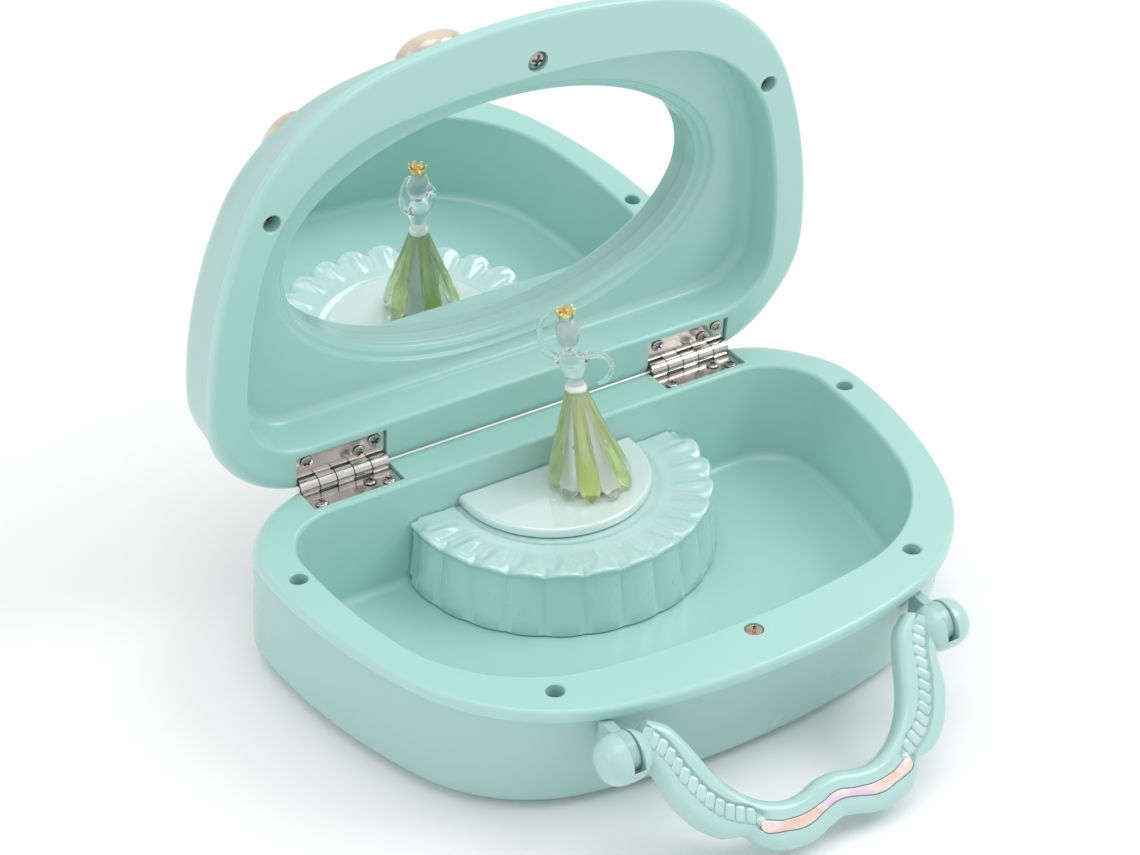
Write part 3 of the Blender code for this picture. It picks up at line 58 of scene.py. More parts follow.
MM = 0.001
GAP = 0.3 * MM
HINGE = Vector(JOINTS["lid_hinge"]["pos_m"])
PIVOT = Vector(JOINTS["handle_swing"]["pos_m"])
FIGURE = Vector(JOINTS["figure_spin"]["pos_m"])
LID_OPEN = math.radians(JOINTS["lid_hinge"]["range_deg"][1])
HANDLE_REST = math.radians(44.0)

# Case, as in the frame
RIM_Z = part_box("tray_liner")[1].z
WALL = 1.8 * MM
FLANGE = 3.5 * MM
FLANGE_LIP = 0.8 * MM
RIM_PLAN = {
    "back_y": 60.9 * MM,
    "half_back": 58.9 * MM,
    "back_corner": 29.5 * MM,
    "side": 146.6 * MM,
    "side_turn": 0.388,
    "front_corner": 54.4 * MM,
    "front_bow": 180.8 * MM,
}
CAVITY_PLAN = {
    "back_y": 45.9 * MM,
    "half_back": 62.1 * MM,
    "back_corner": 16.0 * MM,
    "side": 154.3 * MM,
    "side_turn": 0.26,
    "front_corner": 43.6 * MM,
    "front_bow": 252.2 * MM,
}
EDGE_ROUND = 1.2 * MM
BACK_EDGE_ROUND = 5.2 * MM
CASE_BOTTOM_ROUND = 7.0 * MM
CASE_DRAW_IN = 17.0 * MM
CASE_STRETCH = (1.227, 1.21)
CASE_SHIFT_Y = 1.4 * MM
CASE_FRONT_WALL_Y = -53.0 * MM
CAVITY_DEPTH = 29.5 * MM
CAVITY_DRAFT = 1.2 * MM
CAVITY_FOOT_ROUND = 2.4 * MM
MOUTH_ROUND = 1.1 * MM
MOUTH_STEPS = ((0.0, 1.0), (0.35, 0.93), (0.62, 0.78), (0.83, 0.5), (0.95, 0.22), (1.0, 0.0))
RIM_EDGE_DEPTHS = (0.0, 0.05, 0.16, 0.36, 0.6, 0.9, 1.2, 1.7, 2.3, 2.9)
LINER_WALL = 1.5 * MM
RIM_HOLE_R = 2.25 * MM
RIM_HOLE_DEPTH = 8.0 * MM
RIM_SLEEVE_R = 3.0 * MM
COUNTERSINK = 0.6 * MM
RIM_HOLES = ((82.0 * MM, 24.6 * MM), (51.2 * MM, -43.4 * MM))
CATCH_Y = -49.0 * MM
KEY_RECESS_R = 13.0 * MM
KEY_RECESS_DEPTH = 6.4 * MM
KEY_CUP_WALL = 1.3 * MM
ARBOR_HOLE_R = 1.8 * MM
STAGE_OPENING_R = 38.5 * MM
STAGE_OPENING_TOP = 22.6 * MM

# Lid, as in the frame
LID_Z = RIM_Z + GAP
LID_HEIGHT = 25.0 * MM
LID_CROWN = 2.0 * MM
LID_TOP_ROUND = 9.0 * MM
LID_FLANGE = 3.0 * MM
LID_DRAW_IN = 4.2 * MM
LID_STRETCH = (1.032, 0.934)
LID_SHIFT_Y = 3.74 * MM
PANEL_DEPTH = 12.5 * MM
MIRROR_DEPTH = 20.8 * MM
MIRROR_SLOPE = -0.021
MIRROR_Y = 4.2 * MM
MIRROR_HALF = (60.8 * MM, 34.6 * MM)
MIRROR_LAP = 1.9 * MM
MIRROR_THICK = 1.4 * MM
PANEL_ROUND = 3.2 * MM
OVAL_FRAME = (
    (4.6, -0.1), (4.1, 0.0), (3.8, 0.25), (3.6, 0.7), (3.4, 1.05), (3.0, 1.25), (2.2, 1.38),
    (1.8, 1.55), (1.55, 1.95), (1.2, 2.6), (0.9, 3.0), (0.5, 3.2), (0.15, 3.35), (0.02, 3.7),
)
LID_HOLE = (70.5 * MM, -24.0 * MM)
GEM_SWING = math.radians(45)
GEMS = {
    "lid_gem_large": ((-17.0 * MM, -44.6 * MM, 22.4 * MM), 9.2 * MM, math.radians(6)),
    "lid_gem_small": ((-56.5 * MM, -32.5 * MM, 22.6 * MM), 6.6 * MM, math.radians(38)),
}

# Hinges
HINGE_X = 53.0 * MM
HINGE_LENGTH = 25.0 * MM
KNUCKLE_R = 2.4 * MM
LEAF_REACH = 9.4 * MM
LEAF_LEVEL = 1.15 * MM
LEAF_THICK = 0.8 * MM
LEAF_SEAT_REACH = 9.4 * MM
POCKET_ROOM = 0.4 * MM
LEAF_BORE_R = 1.15 * MM
LEAF_SCREWS = ((-9.6 * MM, 7.2 * MM), (9.6 * MM, 7.2 * MM), (5.2 * MM, 5.0 * MM))

# Screws: head radius, head height, shank radius, length
LINER_SCREW = (1.95 * MM, 1.3 * MM, 0.9 * MM, 7 * MM)
LEAF_SCREW = (1.75 * MM, 0.6 * MM, 0.75 * MM, 4.8 * MM)
CATCH_SCREW = (2.45 * MM, 1.1 * MM, 0.9 * MM, 4 * MM)

# Stage
STAGE_Y = 40.9 * MM
STAGE_R = 41.2 * MM
STAGE_FOOT_R = 43.0 * MM
STAGE_BACK_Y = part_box("stage_drum")[1].y
RUFFLE_Z = 24.2 * MM
SCALLOPS = 13
STEPS_PER_SCALLOP = 22
RUFFLE_RIM = (
    (-0.75, -1.5, 0.8, 1.1), (-0.45, -1.15, 1.1, 1.4), (-0.3, -0.75, 1.1, 1.6),
    (-0.55, -0.4, 1.1, 1.75), (-1.1, -0.2, 1.0, 1.75), (-2.2, -0.12, 0.9, 1.6),
)
COLLAR = ((3.9, 0.3), (3.2, 0.42), (2.2, 0.42), (1.4, 0.28), (1.0, 0.0), (-0.4, 0.0))
STAGE_WELL_R = 22.5 * MM
PLATFORM_ROUND = 1.1 * MM
PLATFORM_WELL_R = 9.2 * MM
PLATFORM_Y = 42.2 * MM
PLATFORM_R = 26.4 * MM
PLATFORM_Z = FIGURE.z

# Handle
PIVOT_X = 44.5 * MM
HANDLE_HALF_THICK = 3.2 * MM
BOSS_R = 6.1 * MM
BOSS_HALF_WIDTH = 6.4 * MM
BOSS_FULLNESS = 2.7
BOSS_X = 45.4 * MM
BOSS_AHEAD = 1.0 * MM
LUG_HALF = 1.3 * MM
LUG_R = 4.9 * MM
LUG_ROOT = 3.5 * MM
PIN_BORE_R = 1.45 * MM
SLOT_AHEAD = 5.5 * MM
HANDLE_OUTER = (
    (43.2, 0.0), (41.0, 4.5), (39.6, 9.4), (38.9, 14.4), (37.0, 18.6), (34.3, 22.8), (29.7, 26.6),
    (24.6, 28.0), (23.0, 30.2), (19.3, 33.4), (14.2, 35.0), (8.8, 35.0), (4.0, 33.7), (0.0, 32.8),
)
HANDLE_INNER = (
    (37.0, -4.8), (32.6, -1.6), (29.5, 4.7), (27.4, 10.4), (24.8, 15.4), (21.2, 19.6), (16.6, 22.6),
    (11.8, 24.0), (7.0, 23.7), (3.0, 22.6), (0.0, 22.3),
)
INLAY_UPPER = ((21.6, 27.0), (15.0, 27.9), (10.0, 28.3), (5.0, 27.6), (0.0, 26.5))
INLAY_LOWER = ((4.6, 29.9), (9.6, 31.3), (14.4, 30.9))
GROOVE_START = 0.03
GROOVE_END = 0.655
GROOVE_DEPTH = 1.0 * MM
GROOVE_HALF = 1.9 * MM
RUNGS = 12
BOW_STEPS = 90
BOW_ROUND = 2.3 * MM
BOW_RIM = 1.25 * MM
RUNG_SIZE = (1.28 * MM, 0.5 * MM)
BEAD_SIZE = (1.35 * MM, 1.35 * MM, 0.9 * MM)
PIN_BORE_REACH = 4.6 * MM

# Figure; the tables below give millimetres above the stage, and half widths
FIGURE_FACING = math.radians(-31.7)
HEM_R = 12.4 * MM
WAIST_Z = 29.6 * MM
PETALS = 10
PETAL_STEPS = 22
BODICE = (
    (28.9, 2.1, 1.9), (30.0, 2.5, 2.2), (30.8, 2.3, 2.1), (31.6, 2.1, 1.9), (33.2, 2.4, 2.1),
    (34.8, 3.0, 2.6), (36.4, 3.6, 3.1), (37.8, 3.9, 2.8), (38.9, 3.5, 2.2), (39.7, 1.9, 1.6),
    (40.4, 1.2, 1.15), (41.6, 1.05, 1.05),
)
RAISED_ARM = (
    (-8.4, 0.2, 38.2, 1.15), (-11.6, 0.6, 40.2, 0.95), (-13.4, 0.9, 44.2, 0.85),
    (-13.4, 0.7, 48.2, 0.72), (-12.0, 0.3, 50.8, 0.62), (-10.6, 0, 51.2, 0.5),
)
BENT_ARM = (
    (-2.6, 0.2, 38.6, 1.15), (1.6, 0.4, 39.4, 0.95), (4.6, 0.6, 36.8, 0.85),
    (3.8, 0.6, 32.6, 0.72), (1.2, 0.5, 30.6, 0.5),
)
BELT = ((28.2, 2.2), (28.7, 2.75), (29.4, 2.95), (30.1, 2.75), (30.6, 2.2))
CROWN_POINTS = 7
CROWN_BAND = ((0.0, 2.0, 1.5), (0.25, 2.1, 1.55), (0.7, 2.07, 1.62), (0.9, 2.15, 1.7))

# Studio: each softbox's place, size and power
SOFTBOXES = {
    "key_softbox": ((0.8, -0.4, 1.0), 0.6, 4.8),
    "left_softbox": ((-1.15, 0.1, 0.6), 0.6, 1.4),
    "top_softbox": ((-0.1, -0.1, 1.25), 0.8, 3.2),
}
LIGHTS_TARGET = (0.0, 0.0, 0.03)
AIR_STRENGTH = 0.78
CAMERA_PLACE = (-0.2709, -0.4057, 0.3900)
CAMERA_TARGET = (0.00797, 0.04598, 0.036)
FOCAL_LENGTH_MM = 76.54


# ---------------------------------------------------------------- materials

class Look:
    """A Principled material whose colour, roughness and bump come from noise over the piece."""

    def __init__(self, name, roughness=0.3, metallic=0.0, **sockets):
        self.material = bpy.data.materials.new(name)
        self.material.use_nodes = True
        self.tree = self.material.node_tree
        self.shader = self.tree.nodes["Principled BSDF"]
        self.fill(self.shader, Roughness=roughness, Metallic=metallic, **sockets)
        self.place = self.add("ShaderNodeTexCoord").outputs["Object"]

    def fill(self, node, **sockets):
        """Sets a node's sockets. An underscore in a name stands for a space."""
        for socket, value in sockets.items():
            node.inputs[socket.replace("_", " ")].default_value = value

    def add(self, kind, **sockets):
        node = self.tree.nodes.new(kind)
        self.fill(node, **sockets)
        return node

    def link(self, source, target):
        self.tree.links.new(source, target)

    def noise(self, scale, detail=3.0, stretch=(1, 1, 1), rough=0.55):
        lay = self.add("ShaderNodeMapping", Scale=stretch)
        self.link(self.place, lay.inputs["Vector"])
        node = self.add("ShaderNodeTexNoise", Scale=scale, Detail=detail, Roughness=rough)
        self.link(lay.outputs["Vector"], node.inputs["Vector"])
        return node.outputs["Fac"]

    def ramp(self, source, stops):
        node = self.add("ShaderNodeValToRGB")
        while len(node.color_ramp.elements) < len(stops):
            node.color_ramp.elements.new(0.5)
        for element, (at, colour) in zip(node.color_ramp.elements, stops):
            element.position = at
            element.color = (*colour, 1.0)
        self.link(source, node.inputs["Fac"])
        return node.outputs["Color"]

    def colour(self, source, stops):
        self.link(self.ramp(source, stops), self.shader.inputs["Base Color"])
        return self

    def rough(self, source, low, high):
        node = self.add("ShaderNodeMapRange", From_Min=0.3, From_Max=0.7, To_Min=low, To_Max=high)
        self.link(source, node.inputs["Value"])
        self.link(node.outputs["Result"], self.shader.inputs["Roughness"])
        return self

    def bump(self, source, strength, depth):
        node = self.add("ShaderNodeBump", Strength=strength, Distance=depth)
        self.link(source, node.inputs["Height"])
        self.link(node.outputs["Normal"], self.shader.inputs["Normal"])
        return self


def plastic(name, tint, roughness=0.24, spread=0.018, flow=5.0):
    """Moulded gloss plastic: faint flow marks in the colour and a fine orange peel on the surface."""
    look = Look(name, roughness, Coat_Weight=0.2, Coat_Roughness=0.1)
    darker = tuple(c * (1 - spread) for c in tint)
    paler = tuple(min(1.0, c * (1 + spread)) for c in tint)
    look.colour(look.noise(flow, 2.0, (1, 1.6, 1)), ((0.3, darker), (0.7, paler)))
    look.rough(look.noise(18.0, 2.0), roughness - 0.015, roughness + 0.02)
    return look.bump(look.noise(1400.0, 2.0), 0.03, 0.0001).material


def pearl(name, deep, pale, roughness, scale=26.0, stretch=(1, 1, 0.6)):
    """Pearlescent plastic: streaks of paler pigment under a clear coat."""
    look = Look(name, roughness, 0.1, Coat_Weight=0.7, Coat_Roughness=0.04)
    look.colour(look.noise(scale, 3.0, stretch, 0.5), ((0.35, deep), (0.66, pale)))
    look.rough(look.noise(60.0, 2.0), roughness - 0.015, roughness + 0.02)
    return look.bump(look.noise(1200.0, 2.0), 0.03, 0.0001).material


def metal(name, dull, bright, roughness, scale=240.0, stretch=(1, 1, 1), bump=0.05):
    """Plated or turned metal with stains, fine scratches and an uneven polish."""
    look = Look(name, roughness, 1.0)
    look.colour(look.noise(scale, 4.0, stretch, 0.6), ((0.3, dull), (0.62, bright)))
    look.rough(look.noise(scale * 1.7, 3.0, stretch), roughness - 0.04, roughness + 0.08)
    return look.bump(look.noise(scale * 3, 3.0, stretch), bump, 0.0002).material


def mirror_glass(name):
    look = Look(name, 0.02, 1.0)
    look.colour(look.noise(9.0, 3.0), ((0.3, (0.9, 0.935, 0.93)), (0.7, (0.935, 0.96, 0.955))))
    return look.rough(look.noise(30.0, 5.0), 0.004, 0.016).material


def acrylic(name, pale, deep, transmission, roughness=0.06):
    """Clear or tinted moulded acrylic, a little deeper in colour through streaks."""
    look = Look(name, roughness, Transmission_Weight=transmission, IOR=1.24, Coat_Weight=0.8)
    look.colour(look.noise(160.0, 3.0, (1, 1, 0.25)), ((0.3, pale), (0.7, deep)))
    look.rough(look.noise(320.0, 3.0), max(0.01, roughness - 0.03), roughness + 0.03)
    return look.bump(look.noise(420.0, 2.0), 0.05, 0.0002).material


def foil(name):
    """Iridescent film: bands of pink, orange, lilac and pale mint that drift along the strip."""
    look = Look(name, 0.14, 0.3, Coat_Weight=0.9, Coat_Roughness=0.04)
    stops = (
        (0.30, (0.90, 0.55, 0.60)), (0.40, (0.93, 0.66, 0.52)), (0.47, (0.92, 0.79, 0.75)),
        (0.53, (0.79, 0.60, 0.78)), (0.60, (0.92, 0.57, 0.64)), (0.70, (0.84, 0.86, 0.82)),
    )
    look.colour(look.noise(75.0, 2.0, (1.0, 2.6, 1.6)), stops)
    look.rough(look.noise(260.0, 3.0), 0.1, 0.2)
    return look.bump(look.noise(500.0, 3.0), 0.12, 0.0003).material


MINT = plastic("mint_plastic_moulded", (0.41, 0.68, 0.625))
# The outer shell is the same mint plastic as the liner; this darker copy is painted shade on its outer walls.
MINT_SHADED_OUTER = plastic("mint_plastic_outer_painted_shade", (0.37, 0.59, 0.55), 0.26)
MINT_HANDLE = plastic("mint_plastic_handle", (0.43, 0.66, 0.62), 0.17)
STAGE = pearl("pearl_mint_stage", (0.49, 0.73, 0.70), (0.60, 0.80, 0.785), 0.27)
# Partly the platform's own pearl tint, partly painted reflection: its extra paleness stands in for the bright
# reflection across its glossy top.
PLATFORM_PEARL_AND_SHEEN = pearl("pearl_mint_platform_painted_sheen", (0.66, 0.80, 0.78), (0.74, 0.86, 0.845), 0.07)
LADDER = pearl("pearl_mint_ladder", (0.45, 0.66, 0.62), (0.54, 0.72, 0.69), 0.2, 120.0)
GEM = pearl("beige_pearl_gem", (0.52, 0.39, 0.29), (0.84, 0.73, 0.60), 0.14, 130.0, (1.0, 0.3, 0.8))
GLASS = mirror_glass("silvered_mirror")
NICKEL = metal("nickel_plate", (0.50, 0.47, 0.44), (0.74, 0.71, 0.68), 0.15, 60.0, bump=0.02)
# Screw steel coloured darker than bare steel: painted shade for the heads that sit deep in the rim wells.
SHADED_SCREW_STEEL = metal("screw_steel_painted_shade", (0.20, 0.18, 0.17), (0.68, 0.64, 0.61), 0.13)
SPRING_STEEL = metal("spring_steel", (0.40, 0.39, 0.38), (0.62, 0.61, 0.60), 0.3, 160.0, (1, 4, 1))
BRASS = metal("turned_brass", (0.52, 0.36, 0.15), (0.80, 0.62, 0.30), 0.28, 180.0, (1, 1, 5))
ZINC = metal("cast_zinc", (0.36, 0.36, 0.36), (0.52, 0.52, 0.51), 0.45, 420.0, bump=0.4)
MAGNET = metal("magnet_plate", (0.46, 0.31, 0.24), (0.80, 0.62, 0.51), 0.16, 300.0)
GOLD = metal("gold_plate", (0.78, 0.57, 0.24), (0.97, 0.82, 0.48), 0.18, 300.0)
CLEAR = acrylic("clear_acrylic", (0.99, 0.998, 0.995), (0.965, 0.985, 0.98), 0.94)
PETAL_CLEAR = acrylic("clear_petal_acrylic", (0.99, 1.0, 0.995), (0.97, 0.995, 0.99), 0.88, 0.04)
FROSTED = acrylic("frosted_acrylic", (0.80, 0.84, 0.84), (0.62, 0.69, 0.69), 0.7, 0.2)
GREEN = acrylic("green_acrylic", (0.93, 1.0, 0.60), (0.86, 0.97, 0.42), 0.82, 0.04)
UNDERSKIRT = acrylic("pale_green_acrylic", (0.985, 0.995, 0.96), (0.96, 0.985, 0.92), 0.05, 0.2)
INLAY = foil("iridescent_foil")


# ---------------------------------------------------------------- mesh tools

def make(name, bm, material, sharp=35):
    bmesh.ops.recalc_face_normals(bm, faces=bm.faces)
    mesh = bpy.data.meshes.new(name)
    bm.to_mesh(mesh)
    bm.free()
    obj = bpy.data.objects.new(name, mesh)
    bpy.context.scene.collection.objects.link(obj)
    if material is not None:
        mesh.materials.append(material)
    mesh.shade_smooth()
    mesh.set_sharp_from_angle(angle=math.radians(sharp))
    return obj


def box(low, high, material=None):
    bm = bmesh.new()
    bmesh.ops.create_cube(bm, size=1.0)
    bmesh.ops.scale(bm, vec=[b - a for a, b in zip(low, high)], verts=bm.verts)
    bmesh.ops.translate(bm, vec=Vector([(a + b) / 2 for a, b in zip(low, high)]), verts=bm.verts)
    return make("tool_box", bm, material)


def rod(start, end, radius, sides=40, material=None, end_radius=None):
    start = Vector(start)
    along = Vector(end) - start
    bm = bmesh.new()
    top = radius if end_radius is None else end_radius
    bmesh.ops.create_cone(
        bm, cap_ends=True, segments=sides, radius1=radius, radius2=top, depth=along.length
    )
    lay = Matrix.Translation(start + along / 2) @ along.to_track_quat("Z", "Y").to_matrix().to_4x4()
    bmesh.ops.transform(bm, matrix=lay, verts=bm.verts)
    return make("tool_rod", bm, material)


def post(spot, low, high, radius, sides=32, end_radius=None):
    """An upright rod."""
    return rod((*spot, low), (*spot, high), radius, sides, None, end_radius)


def crossbar(x, reach, level, radius, sides):
    """A rod that lies along X, centred on x, at this (y, z)."""
    return rod((x - reach, *level), (x + reach, *level), radius, sides)


def ball(centre, radii, material=None, segments=40, rings=24):
    bm = bmesh.new()
    bmesh.ops.create_uvsphere(bm, u_segments=segments, v_segments=rings, radius=1.0)
    bmesh.ops.scale(bm, vec=radii, verts=bm.verts)
    bmesh.ops.translate(bm, vec=centre, verts=bm.verts)
    return make("tool_ball", bm, material)


def skin(rings, closed=False, capped=True, looped=True):
    """A bmesh through rings of equally many points. Closed joins the last ring to the first."""
    bm = bmesh.new()
    rows = [[bm.verts.new(point) for point in points] for points in rings]
    pairs = list(zip(rows, rows[1:])) + ([(rows[-1], rows[0])] if closed else [])
    for lower, upper in pairs:
        count = len(lower)
        for i in range(count if looped else count - 1):
            j = (i + 1) % count
            bm.faces.new((lower[i], lower[j], upper[j], upper[i]))
    if looped and capped and not closed:
        bm.faces.new(rows[0])
        bm.faces.new(rows[-1])
    if not looped and capped:
        bm.faces.new([row[0] for row in rows])
        bm.faces.new([row[-1] for row in rows])
    return bm


def bake(obj, sharp=35):
    """Applies the object's modifiers."""
    bpy.context.view_layer.update()
    done = obj.evaluated_get(bpy.context.evaluated_depsgraph_get())
    mesh = bpy.data.meshes.new_from_object(done)
    obj.modifiers.clear()
    obj.data = mesh
    mesh.shade_smooth()
    mesh.set_sharp_from_angle(angle=math.radians(sharp))
    return obj


def shaped(target, joins=(), cuts=(), more_joins=(), sharp=35):
    """Joins tools to a piece and cuts others from it, then removes the tools."""
    tools = []
    for kind, group in (("UNION", joins), ("DIFFERENCE", cuts), ("UNION", more_joins)):
        for tool in group:
            step = target.modifiers.new("step", "BOOLEAN")
            step.operation = kind
            step.solver = "EXACT"
            step.object = tool
            tools.append(tool)
    bake(target, sharp)
    for tool in tools:
        bpy.data.objects.remove(tool)
    return target


def bevelled(obj, width, segments=2, angle=30):
    step = obj.modifiers.new("edges", "BEVEL")
    step.width = width
    step.segments = segments
    step.limit_method = "ANGLE"
    step.angle_limit = math.radians(angle)
    step.use_clamp_overlap = True
    return bake(obj, 40)


def even_normals(obj):
    step = obj.modifiers.new("normals", "WEIGHTED_NORMAL")
    step.keep_sharp = True
    step.weight = 60
    return obj


def swing(centre, angle):
    """A turn about the axis along X through this point."""
    return Matrix.Translation(centre) @ Matrix.Rotation(angle, 4, "X") @ Matrix.Translation(-centre)


TURNS = {"lid": swing(HINGE, -LID_OPEN), "handle": swing(PIVOT, HANDLE_REST)}


def settle(obj, name, body, nodes=()):
    """Names a finished piece, swings it into its resting place and ties it to the frame."""
    obj.name = name
    obj.data.name = name
    if body in TURNS:
        obj.data.transform(TURNS[body])
    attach(obj, body)
    if nodes:
        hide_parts(*nodes)
    return obj


# ---------------------------------------------------------------- plans and sections

def plan(spec):
    """Points of a closed outline of tangent arcs, clockwise from the middle of the back."""
    x = spec["half_back"]
    y = spec["back_y"]
    half = [Vector((x * i / 8, y)) for i in range(9)]

    def arc(x, y, heading, radius, turn, steps):
        for i in range(1, steps + 1):
            now = heading + turn * i / steps
            across = radius * (math.sin(now) - math.sin(heading))
            back = radius * (math.cos(now) - math.cos(heading))
            half.append(Vector((x + across, y + back)))
        return half[-1].x, half[-1].y, heading + turn

    x, y, heading = arc(x, y, 0.0, spec["back_corner"], math.pi / 2, 18)
    x, y, heading = arc(x, y, heading, spec["side"], spec["side_turn"], 10)
    sine = (x - spec["front_corner"] * math.sin(heading)) / (spec["front_bow"] - spec["front_corner"])
    x, y, heading = arc(x, y, heading, spec["front_corner"], math.pi - math.asin(sine) - heading, 20)
    arc(x, y, heading, spec["front_bow"], math.pi - heading, 12)
    half[-1].x = 0.0
    return half + [Vector((-point.x, point.y)) for point in reversed(half[1:-1])]


def inset(points, distance):
    """The outline moved inwards, by one distance or by a function of the point."""
    moved = []
    for i, point in enumerate(points):
        before = (point - points[i - 1]).normalized()
        after = (points[(i + 1) % len(points)] - point).normalized()
        along = (before + after).normalized()
        inward = Vector((along.y, -along.x))
        by = distance(point) if callable(distance) else distance
        moved.append(point + inward * by / max(0.5, along.dot(before)))
    return moved


def stretched(points, factors, shift_y):
    return [Vector((p.x * factors[0], p.y * factors[1] + shift_y)) for p in points]


def between(first, second, share):
    return [a.lerp(b, share) for a, b in zip(first, second)]


def ring(points, z):
    return [Vector((p.x, p.y, z)) for p in points]


def edge_round(point):
    share = min(1.0, max(0.0, (point.y - 25 * MM) / (25 * MM)))
    return EDGE_ROUND + (BACK_EDGE_ROUND - EDGE_ROUND) * share * share * (3 - 2 * share)


def edge_ring(depth):
    """The rim's outline this far below its top face, on its rounded edge."""

    def drawn_in(point):
        radius = edge_round(point)
        if depth >= radius:
            return 0.0
        return radius - math.sqrt(radius**2 - (radius - depth) ** 2)

    return inset(RIM, drawn_in)


RIM = plan(RIM_PLAN)
CAVITY = plan(CAVITY_PLAN)
CASE_LOWER = stretched(inset(RIM, CASE_DRAW_IN), CASE_STRETCH, CASE_SHIFT_Y)
LID_UPPER = stretched(inset(RIM, LID_DRAW_IN), LID_STRETCH, LID_SHIFT_Y)


def case_section(z):
    share = min(1.0, (RIM_Z - z) / (RIM_Z - CASE_BOTTOM_ROUND))
    return inset(between(RIM, CASE_LOWER, share), FLANGE_LIP * (1 - share))


def lid_section(height):
    share = min(1.0, height / (LID_HEIGHT - LID_TOP_ROUND))
    return inset(between(RIM, LID_UPPER, share), FLANGE_LIP * (1 - share))


def ellipse_ring(half, z, slope=0.0):
    points = []
    for point in CAVITY:
        angle = math.atan2((point.y - MIRROR_Y) / half[1], point.x / half[0])
        reach = half[1] * math.sin(angle)
        points.append(Vector((half[0] * math.cos(angle), MIRROR_Y + reach, z + slope * reach)))
    return points


def rounded_foot(section, radius, thickness, base_z, sign, steps=9):
    rings = []
    inner = radius - thickness
    for i in range(1, steps + 1):
        angle = math.pi / 2 * i / steps
        points = inset(section, thickness + inner * (1 - math.cos(angle)))
        rings.append(ring(points, base_z - sign * inner * math.sin(angle)))
    return rings


def quarter(steps):
    """Pairs that run from (0, 1) to (1, 0) round a quarter circle seen from its corner."""
    turns = [math.pi / 2 * i / steps for i in range(steps + 1)]
    return [(1 - math.cos(angle), 1 - math.sin(angle)) for angle in turns]


def mouth_rings(top, sign):
    """Rings round the mouth of a cavity, from the mating face over a rounded lip."""
    return [
        ring(inset(CAVITY, -MOUTH_ROUND * (1 - a)), top - sign * MOUTH_ROUND * (1 - b))
        for a, b in MOUTH_STEPS
    ]


def turns(count):
    """Angles at even steps round a full circle."""
    return [2 * math.pi * i / count for i in range(count)]


def circle(radius, height, sides):
    return [Vector((radius * math.cos(a), radius * math.sin(a), height)) for a in turns(sides)]


def both_sides(value):
    return (("left", -value), ("right", value))


def rim_posts():
    return [(sign * x, y) for x, y in RIM_HOLES for sign in (-1, 1)]


# ---------------------------------------------------------------- case

def case_shell():
    top = RIM_Z - FLANGE - GAP
    base = CASE_BOTTOM_ROUND
    levels = [base + (top - base) * i / 6 for i in range(7)]
    outer = [ring(case_section(z), z) for z in levels]
    outer[-1] = ring(inset(case_section(top), 0.25 * MM), top)
    outer.insert(-1, ring(case_section(top - 0.25 * MM), top - 0.25 * MM))
    inner = [ring(inset(case_section(z), WALL), z) for z in (top, levels[3], base)]
    foot_out = rounded_foot(case_section(base), CASE_BOTTOM_ROUND, 0.0, base, 1)
    foot_in = rounded_foot(case_section(base), CASE_BOTTOM_ROUND, WALL, base, 1)
    shell = make("case", skin(list(reversed(foot_out)) + outer + inner + foot_in), MINT_SHADED_OUTER)
    lugs = []
    axis = (PIVOT.y, PIVOT.z)
    for _, x in both_sides(PIVOT_X):
        low = (x - LUG_HALF, PIVOT.y, PIVOT.z - LUG_ROOT)
        root = box(low, (x + LUG_HALF, CASE_FRONT_WALL_Y, PIVOT.z + LUG_ROOT))
        lug = shaped(crossbar(x, LUG_HALF, axis, LUG_R, 56), [root])
        lug.data.materials.append(MINT_SHADED_OUTER)
        lugs.append(bevelled(lug, 0.35 * MM))
    centre = (FIGURE.x, FIGURE.y)
    bores = [post(centre, -1 * MM, KEY_RECESS_DEPTH, KEY_RECESS_R, 64)]
    bores.append(post(centre, 0, 12 * MM, ARBOR_HOLE_R, 24))
    bores += [crossbar(x, 3 * MM, axis, PIN_BORE_R, 32) for _, x in both_sides(PIVOT_X)]
    cup = post(centre, 0.6 * MM, KEY_RECESS_DEPTH + KEY_CUP_WALL, KEY_RECESS_R + KEY_CUP_WALL, 64)
    shaped(shell, [cup, *lugs], bores)
    settle(even_normals(shell), "case_shell_moulded", "case", ["case_shell"])


def hinge_pocket(x, z_sign, mating_z):
    """Cutters for one leaf's seat and, deeper, for the knuckles."""
    reach = LEAF_REACH + POCKET_ROOM
    half = HINGE_LENGTH / 2 + POCKET_ROOM
    floor = HINGE.z + z_sign * (LEAF_LEVEL + LEAF_THICK + 0.25 * MM)
    trench = HINGE.z + z_sign * (KNUCKLE_R + GAP)
    beyond = mating_z - z_sign * 3 * MM
    cutters = []
    for depth, back in ((floor, reach), (trench, 3.1 * MM)):
        low = (x - half, HINGE.y - back, min(depth, beyond))
        cutters.append(box(low, (x + half, HINGE.y + 6 * MM, max(depth, beyond))))
    return cutters


def rim_edge(top, sign):
    """Rings down the rim's rounded outer edge, from its top face to the flange's foot."""
    return [ring(edge_ring(depth * MM), top - sign * depth * MM) for depth in RIM_EDGE_DEPTHS]


